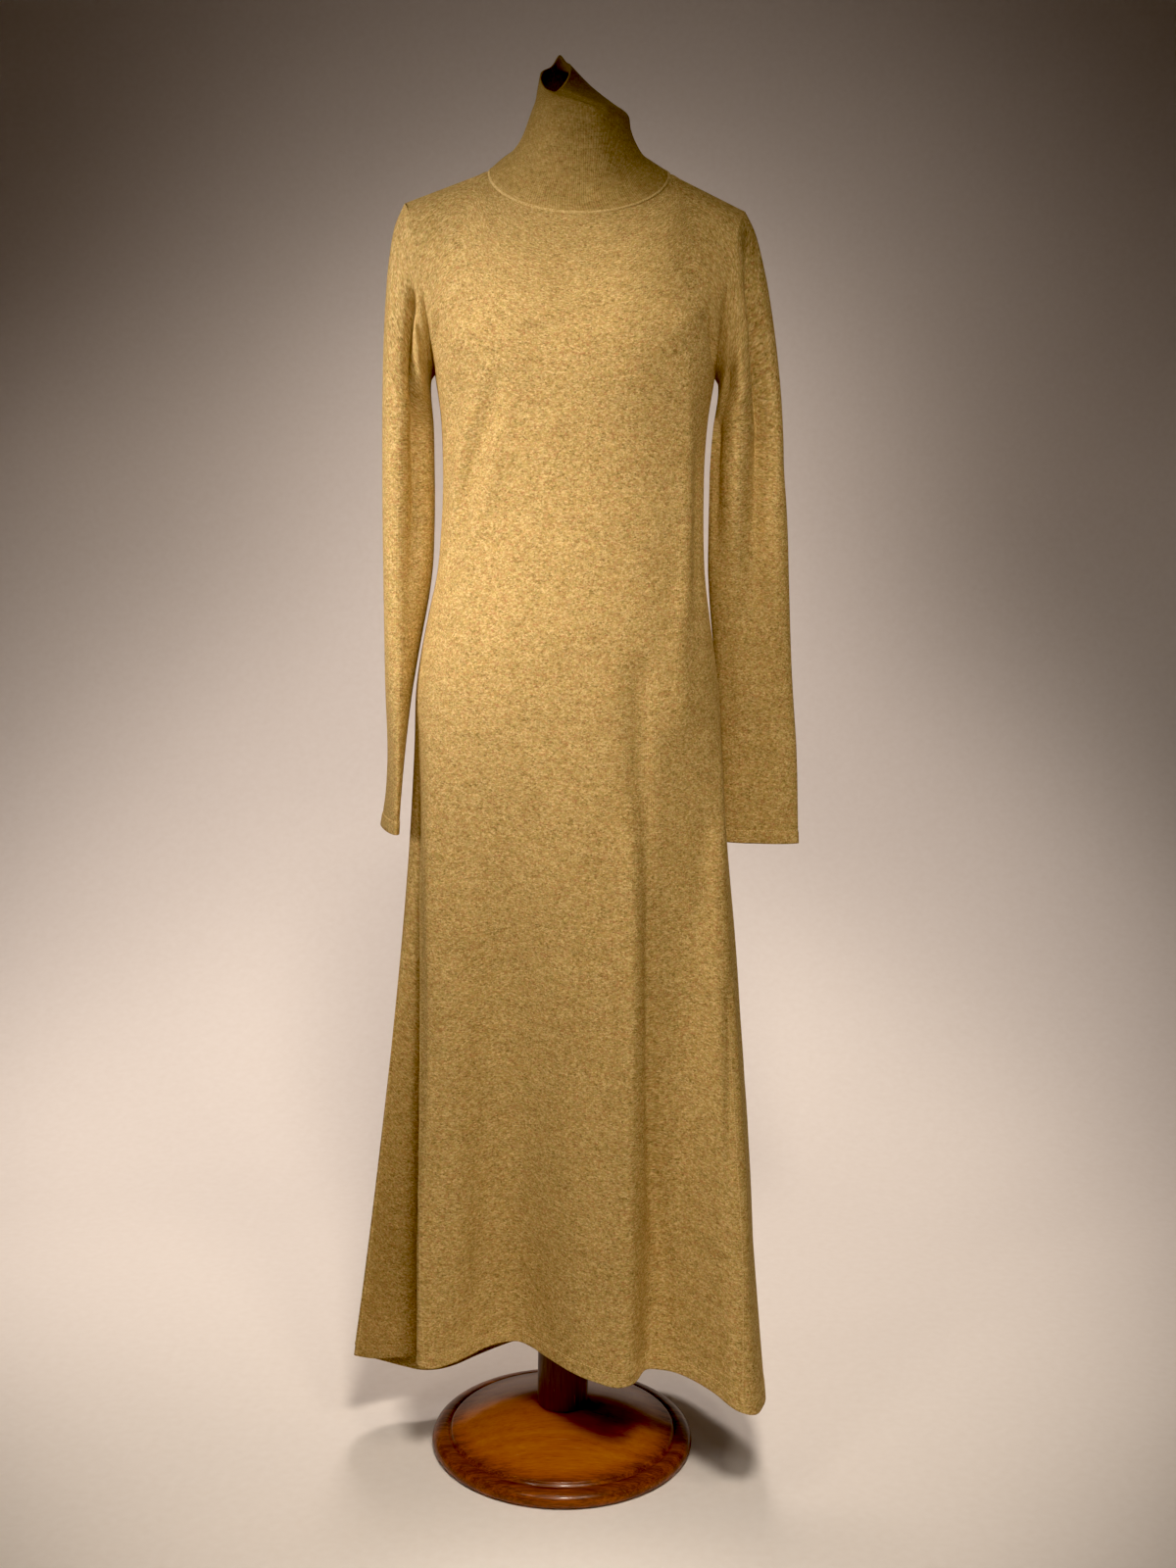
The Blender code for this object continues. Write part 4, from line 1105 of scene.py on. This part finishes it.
first_yoke_row = SKIRT_ROWS + TORSO_ROWS - 1
armhole_gaps = np.diff(row_knots[first_yoke_row:])
armhole_knots = running([*armhole_gaps, *armhole_gaps[::-1]])
for name, node, table, is_left, creases in (
    ("sleeve-right", "sleeve_right", SLEEVE_RIGHT, False, RIGHT_SLEEVE_CREASES),
    ("sleeve-left", "sleeve_left", SLEEVE_LEFT, True, LEFT_SLEEVE_CREASES),
):
    rings = sleeve(armhole(is_left), table, is_left)
    grid, moved, across, along, from_seam, from_edge = cut_tube(
        rings, armhole_knots, SLEEVE_ROW_STEP, SLEEVE_STEPS, creases
    )
    moved += turned_edge(from_edge)
    grid = sink_armhole(grid + ways_out(grid, True) * moved[..., None], from_seam)
    out = ways_out(grid, True)
    piece = add_cloth(name, grid, -out * WALL, across, along, knit, is_tube=True)
    trim = add_stitches(
        name + "-cuff-stitches", *at_turning(grid, out, from_edge), HEM_STITCH, pale_yarn
    )
    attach(piece, "root")
    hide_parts(node)


# ---- Collar ----
# A tall funnel knitted in fine rib and linked to the neck. It stands on the form's neck,
# and above that it sinks over to the wearer's right, so its mouth is narrow and leans.

COLLAR = [
    # right: x, height   left: x, height     front: y, height    back: y, height
    (-0.0859, 1.4641, 0.0815, 1.4634, -0.0670, 1.4177, 0.0500, 1.4830),
    (-0.0721, 1.4754, 0.0700, 1.4722, -0.0590, 1.4408, 0.0500, 1.4920),
    (-0.0619, 1.4903, 0.0602, 1.4877, -0.0530, 1.4679, 0.0490, 1.5023),
    (-0.0553, 1.5068, 0.0546, 1.5016, -0.0495, 1.4948, 0.0490, 1.5136),
    (-0.0513, 1.5181, 0.0510, 1.5161, -0.0470, 1.5146, 0.0480, 1.5249),
    (-0.0477, 1.5274, 0.0352, 1.5274, -0.0465, 1.5208, 0.0470, 1.5393),
    (-0.0457, 1.5388, 0.0116, 1.5440, -0.0460, 1.5249, 0.0450, 1.5567),
    (-0.0430, 1.5540, -0.0100, 1.5630, -0.0450, 1.5285, 0.0400, 1.5730),
]
NECK_TOP_SECTION = 4  # the last section that the form's neck fills
RIM_EAR = (258.0, 22.0, 0.011)  # turn from the right by way of the front, spread, height
COLLAR_RIBS = 216  # round the collar
COLLAR_ROUND = 0.36  # its width in the rib, laid flat
NECK_DIP = 0.0006  # how deep the neck seam lies
NECK_LOOP = (0.0019, 0.0017, 0.0005, 0.0026)  # a loop of the linking row, as a hem stitch
COLLAR_ROW_STEP = 0.0016
COLLAR_STEPS = 12
# across starts at the left shoulder, to the back.
COLLAR_CREASES = [
    (4, (-48, 1532, 0), (-54.7, 1526.5, -1.6), (-60, 1521, -2), (-46, 1515, 0)),
    (7, (-74.9, 1510, 0), (-74.9, 1496, -2.2), (-77, 1484, 0)),
    (6, (-100, 1524, 0), (-108, 1508, 1.6), (-112, 1490, 0)),
]


def collar():
    """The collar's rings from the neck seam up to its rim, starting at the wearer's right."""
    first = round(GORES * SHOULDER_SHARE)
    last = GORES - first + 1
    seam = np.concatenate([front_lines[-1, first:last], back_lines[-1, first + 1 : last]])
    around = np.linspace(0, 2 * math.pi, len(seam))
    side, fore = -np.cos(around), np.sin(around)
    rings = [seam]
    for right_x, right_z, left_x, left_z, front_y, front_z, back_y, back_z in COLLAR:
        x = (right_x + left_x) / 2 + (left_x - right_x) / 2 * side
        y = np.where(fore > 0, front_y, -back_y) * fore
        height = (right_z + left_z + front_z + back_z) / 4
        height = height + (left_z - right_z) / 2 * side + (front_z - back_z) / 2 * fore
        height = height + (right_z + left_z - front_z - back_z) / 4 * np.cos(2 * around)
        rings.append(np.stack([x, y, height], axis=-1))
    at, spread, lift = RIM_EAR
    rings[-1][:, 2] += lift * np.exp(-(((np.degrees(around) - at) / spread) ** 2))
    return np.array(rings)


rib_knit = marled_knit("marled wool-blend rib", RIB_MARL, COLLAR_ROUND / COLLAR_RIBS)
collar_lines = collar()
collar_knots = np.arange(collar_lines.shape[1])
collar_grid, moved, _, collar_along, from_seam, _ = cut_tube(
    collar_lines, collar_knots, COLLAR_ROW_STEP, COLLAR_STEPS, COLLAR_CREASES
)
moved -= NECK_DIP * np.exp(-((from_seam / SEAM_SPREAD) ** 2))
collar_grid = collar_grid + ways_out(collar_grid, True) * moved[..., None]
collar_out = ways_out(collar_grid, True)
collar_across = np.linspace(0, COLLAR_ROUND, collar_grid.shape[1])[None, :] + 0 * collar_along
inward = -collar_out * WALL
funnel = add_cloth(
    "funnel-collar", collar_grid, inward, collar_across, collar_along, rib_knit, is_tube=True
)
neck_row = add_stitches("neck-linking", collar_grid[1], collar_out[2], NECK_LOOP, pale_yarn)
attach(funnel, "root")
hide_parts("collar")


# ---- Dress form ----
# A padded torso without limbs under a smooth linen cover, with flat arm plates and a flat
# bottom on the column. It fills the dress from the hip up, and its neck ends in a cap.

FORM_CLEARANCE = [
    # height  clearance inside the cloth
    (0.900, 0.0105),
    (1.250, 0.0075),
    (1.350, 0.0045),
    (1.420, 0.0022),
    (1.480, 0.0022),
    (1.560, 0.0022),
]
FORM_BOTTOM = 0.8605
FORM_TAPER = 0.975  # of the bottom, against the hip
ARM_PLATE_SINK = 0.004
CAP_RINGS = (0.0, 0.06, 0.5)  # shares of the way from a cap's edge to its middle
FORM_ROUNDING = 2  # levels of subdivision
LINEN = "#CFC3AB"
LINEN_SHADE = "#A99A80"
LINEN_THREAD = 0.0011  # really 0.5 mm, drawn coarser so that it shows
LINEN_SLUB = 0.025  # how far along it a thread's thickness changes
LINEN_RELIEF = 0.0005


def shared_ways_out(grids):
    """The way out at each point, shared by the points of several grids that meet there."""
    points = np.concatenate([grid.reshape(-1, 3) for grid in grids])
    ways = np.concatenate([ways_out(grid, False).reshape(-1, 3) for grid in grids])
    _, same = np.unique(np.round(points, 6), axis=0, return_inverse=True)
    total = np.zeros((same.max() + 1, 3))
    np.add.at(total, same.reshape(-1), ways)
    return unit(total[same.reshape(-1)])


def add_form(material):
    """The torso as one closed mesh, rounded by subdivision."""
    grids = [
        front_lines[SKIRT_ROWS:],
        back_lines[SKIRT_ROWS:],
        collar_lines[: NECK_TOP_SECTION + 2],
    ]
    ways = shared_ways_out(grids)
    points = np.concatenate([grid.reshape(-1, 3) for grid in grids])
    clearance = np.interp(points[:, 2], column(FORM_CLEARANCE, 0), column(FORM_CLEARANCE, 1))
    points = points - ways * (WALL + clearance)[:, None]
    faces, start, parts = [], 0, []
    for grid in grids:
        index = np.arange(grid[..., 0].size).reshape(grid.shape[:2]) + start
        faces += cells(index).reshape(-1, 4).tolist()
        parts.append(points[index])
        start += index.size
    points = points.tolist()

    def cap(ring, middle):
        """Closes a ring with two rings towards its middle and a fan."""
        ring, middle = np.array(ring), np.array(middle)
        count, first = len(ring), len(points)
        for share in CAP_RINGS:
            points.extend((ring + (middle - ring) * share).tolist())
        points.append(middle.tolist())
        for step in range(len(CAP_RINGS) - 1):
            for i in range(count):
                j, low = (i + 1) % count, first + step * count
                faces.append((low + j, low + i, low + count + i, low + count + j))
        last = first + (len(CAP_RINGS) - 1) * count
        faces.extend((last + (i + 1) % count, last + i, last + count) for i in range(count))

    front_part, back_part, neck_part = parts
    top = neck_part[-1, :-1]
    cap(top[::-1], top.mean(axis=0))
    above = TORSO_ROWS - 1
    for up, down, side in (
        (front_part[above:, 0], back_part[above:, -1], 1),
        (back_part[above:, 0], front_part[above:, -1], -1),
    ):
        ring = np.concatenate([up, down[-2:0:-1]])
        cap(ring[::-1], ring.mean(axis=0) + np.array([side * ARM_PLATE_SINK, 0, 0]))
    hip = np.concatenate([front_part[0, :-1], back_part[0, :-1]])
    centre = hip.mean(axis=0)
    bottom = centre + (hip - centre) * FORM_TAPER
    bottom[:, 2] = FORM_BOTTOM
    first, count = len(points), len(hip)
    points.extend(np.concatenate([bottom, hip]).tolist())
    for i in range(count):
        j = (i + 1) % count
        faces.append((first + i, first + j, first + count + j, first + count + i))
    cap(bottom, (centre[0], centre[1], FORM_BOTTOM))

    joined, same = np.unique(np.round(np.array(points), 6), axis=0, return_inverse=True)
    same = same.reshape(-1)
    welded = [tuple(dict.fromkeys(int(same[i]) for i in face)) for face in faces]
    torso = add_mesh("form-torso", joined, [face for face in welded if len(face) > 2], material)
    rounding = torso.modifiers.new("rounding", "SUBSURF")
    rounding.levels = rounding.render_levels = FORM_ROUNDING
    return torso


def linen_cover(name):
    """Plain-woven linen: a slight grid of threads of uneven thickness, matt and pale."""
    material, tree, shader = new_material(
        name, Roughness=0.85, IOR=1.5, Sheen_Weight=0.15, Sheen_Roughness=0.5
    )
    place = add_node(tree, "TexCoord").outputs["Object"]
    heights = []
    fine, long = 1 / LINEN_THREAD, 1 / LINEN_SLUB
    for run in ((fine, fine, long), (long, long, fine)):
        scaled = add_node(tree, "Mapping", {"Vector": place, "Scale": run})
        heights.append(add_node(tree, "TexNoise", {"Vector": scaled, "Scale": 1.0, "Detail": 2.0}))
    weave = add_node(tree, "Math", {0: heights[0], 1: heights[1]}, operation="MAXIMUM")
    colour = add_node(tree, "ValToRGB", {0: weave}, [(0.40, LINEN_SHADE), (0.66, LINEN)])
    bump = add_node(tree, "Bump", {"Height": weave, "Strength": 0.4, "Distance": LINEN_RELIEF})
    connect(tree, shader, {"Base Color": colour, "Normal": bump})
    return material


torso = add_form(linen_cover("plain linen cover"))
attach(torso, "root")
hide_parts("form_torso")


# ---- Floor and backdrop ----
# A seamless sweep of pale paper: a flat floor that curves up into a wall.

PAPER, PAPER_FIBRE = "#F1EAE4", "#F6F0EB"
SWEEP_FRONT, SWEEP_BACK, SWEEP_HALF_WIDTH = -1.7, 0.70, 1.9
SWEEP_RADIUS, SWEEP_TOP, SWEEP_STEPS = 1.2, 3.4, 25
PAPER_PATCHES = 90.0  # soft patches of its tone, to the metre


def add_sweep():
    material, tree, shader = new_material("pale matt paper", Roughness=0.9, IOR=1.5)
    place = add_node(tree, "TexCoord").outputs["Object"]
    patches = add_node(tree, "TexNoise", {"Vector": place, "Scale": PAPER_PATCHES, "Detail": 4.0})
    shade = add_node(tree, "ValToRGB", {0: patches}, [(0.2, PAPER), (0.8, PAPER_FIBRE)])
    connect(tree, shader, {"Base Color": shade})
    # The paper has no back, so that the wall hides nothing that is seen from behind it.
    is_back = add_node(tree, "NewGeometry").outputs["Backfacing"]
    clear = add_node(tree, "BsdfTransparent")
    sided = add_node(tree, "MixShader", {0: is_back, 1: shader, 2: clear})
    connect(tree, tree.nodes["Material Output"], {"Surface": sided})
    turns = np.linspace(0, math.pi / 2, SWEEP_STEPS)
    profile = [(SWEEP_FRONT, 0.0)]
    profile += [
        (SWEEP_BACK + SWEEP_RADIUS * math.sin(t), SWEEP_RADIUS * (1 - math.cos(t))) for t in turns
    ]
    profile.append((SWEEP_BACK + SWEEP_RADIUS, SWEEP_TOP))
    points = [(x, y, z) for y, z in profile for x in (-SWEEP_HALF_WIDTH, SWEEP_HALF_WIDTH)]
    faces = [(2 * i, 2 * i + 1, 2 * i + 3, 2 * i + 2) for i in range(len(profile) - 1)]
    return add_mesh("paper-sweep", points, faces, material)


add_sweep()


# ---- Lights ----
# Three warm soft lights high in front, aimed low so that the collar falls into their edges,
# two at the left and a small one on the bust that model the folds. The others light the
# floor and the paper, and one the back.

LIGHTS = [
    # name   azimuth, reach, height, radius, cone, edge, power, colour, aimed at
    ("front-high", 5.0, 1.9, 2.5, 0.22, 38.0, 0.6, 184.0, "#FFF2E2", (0.0, 0.0, 0.46)),
    ("right-high", 25.0, 1.9, 2.5, 0.22, 38.0, 0.6, 36.0, "#FFEFDB", (0.0, 0.0, 0.40)),
    ("left-high", -35.0, 1.9, 2.5, 0.22, 38.0, 0.6, 22.0, "#FFF4E8", (0.0, 0.0, 0.40)),
    ("left-low", -55.0, 1.9, 1.3, 0.22, 34.0, 0.6, 42.0, "#FFF4E8", (0.0, 0.0, 0.90)),
    ("left-bust", -65.0, 1.9, 1.5, 0.15, 26.0, 0.6, 118.0, "#FFF6EE", (0.0, 0.0, 1.15)),
    ("right-bust", 12.0, 1.9, 1.7, 0.15, 15.0, 1.0, 24.0, "#FFF6EE", (0.085, -0.10, 1.22)),
    ("floor-centre", 0.0, 0.9, 2.2, 0.15, 18.0, 1.0, 72.0, "#FFFAF5", (0.0, -0.50, 0.0)),
    ("floor-far", 0.0, 3.2, 3.0, 0.40, 40.0, 1.0, 90.0, "#FFF6EE", (0.0, -1.80, 0.0)),
    ("floor-front", 0.0, 2.6, 2.2, 0.30, 40.0, 1.0, 50.0, "#FFF4E8", (0.0, -1.0, 0.0)),
    ("paper-left", -72.0, 2.6, 0.9, 0.30, 60.0, 1.0, 148.0, "#FFF0E5", (0.0, 1.90, 0.20)),
    ("paper-above", 180.0, 0.9, 3.0, 0.30, 60.0, 0.6, 140.0, "#FFF0E5", (0.0, 1.20, 0.0)),
    ("back-high", 180.0, 1.8, 2.6, 0.25, 34.0, 1.0, 26.0, "#FFF2E2", (0.0, 0.0, 0.95)),
    ("paper-behind", 180.0, 0.5, 1.2, 0.20, 84.0, 1.0, 13.0, "#FFF0E5", (0.0, 1.90, 1.60)),
]
ROOM = ("#FFE6D2", 0.012)  # the dim glow of its walls
BEYOND = "#8F7D6E"  # what shows past the paper's edges
BLACK_LEVEL = 0.021  # a camera's deep shadows: less light than this is black


def add_light(name, azimuth, reach, height, radius, cone, edge, power, colour, aim):
    """A soft spot lamp at this bearing, its reach away from the column, and its height."""
    lamp = bpy.data.lights.new(name, "SPOT")
    lamp.shadow_soft_size = radius
    lamp.spot_size = math.radians(cone)
    lamp.spot_blend = edge
    lamp.energy = power
    lamp.color = linear(colour)[:3]
    piece = bpy.data.objects.new(name, lamp)
    turn = math.radians(azimuth)
    place = np.array([math.sin(turn) * reach, -math.cos(turn) * reach, height])
    back_way = unit(place - np.array(aim))
    right_way = unit(np.cross([0, 0, 1.0], back_way))
    up_way = np.cross(back_way, right_way)
    turned = Matrix(np.stack([right_way, up_way, back_way], axis=1).tolist())
    piece.matrix_world = Matrix.Translation(place.tolist()) @ turned.to_4x4()
    piece.visible_camera = False
    bpy.context.scene.collection.objects.link(piece)


for values in LIGHTS:
    add_light(*values)
world = bpy.data.worlds.new("room")
world.use_nodes = True
glow = [channel * ROOM[1] for channel in linear(ROOM[0])[:3]] + [1.0]
seen = add_node(world.node_tree, "LightPath").outputs["Is Camera Ray"]
around = add_node(world.node_tree, "Mix", {0: seen, 6: glow, 7: linear(BEYOND)}, data_type="RGBA")
connect(world.node_tree, world.node_tree.nodes["Background"], {"Color": around})
bpy.context.scene.world = world
view = bpy.context.scene.view_settings
view.view_transform = "Standard"
view.use_curve_mapping = True
view.curve_mapping.black_level = (BLACK_LEVEL, BLACK_LEVEL, BLACK_LEVEL)
view.curve_mapping.update()
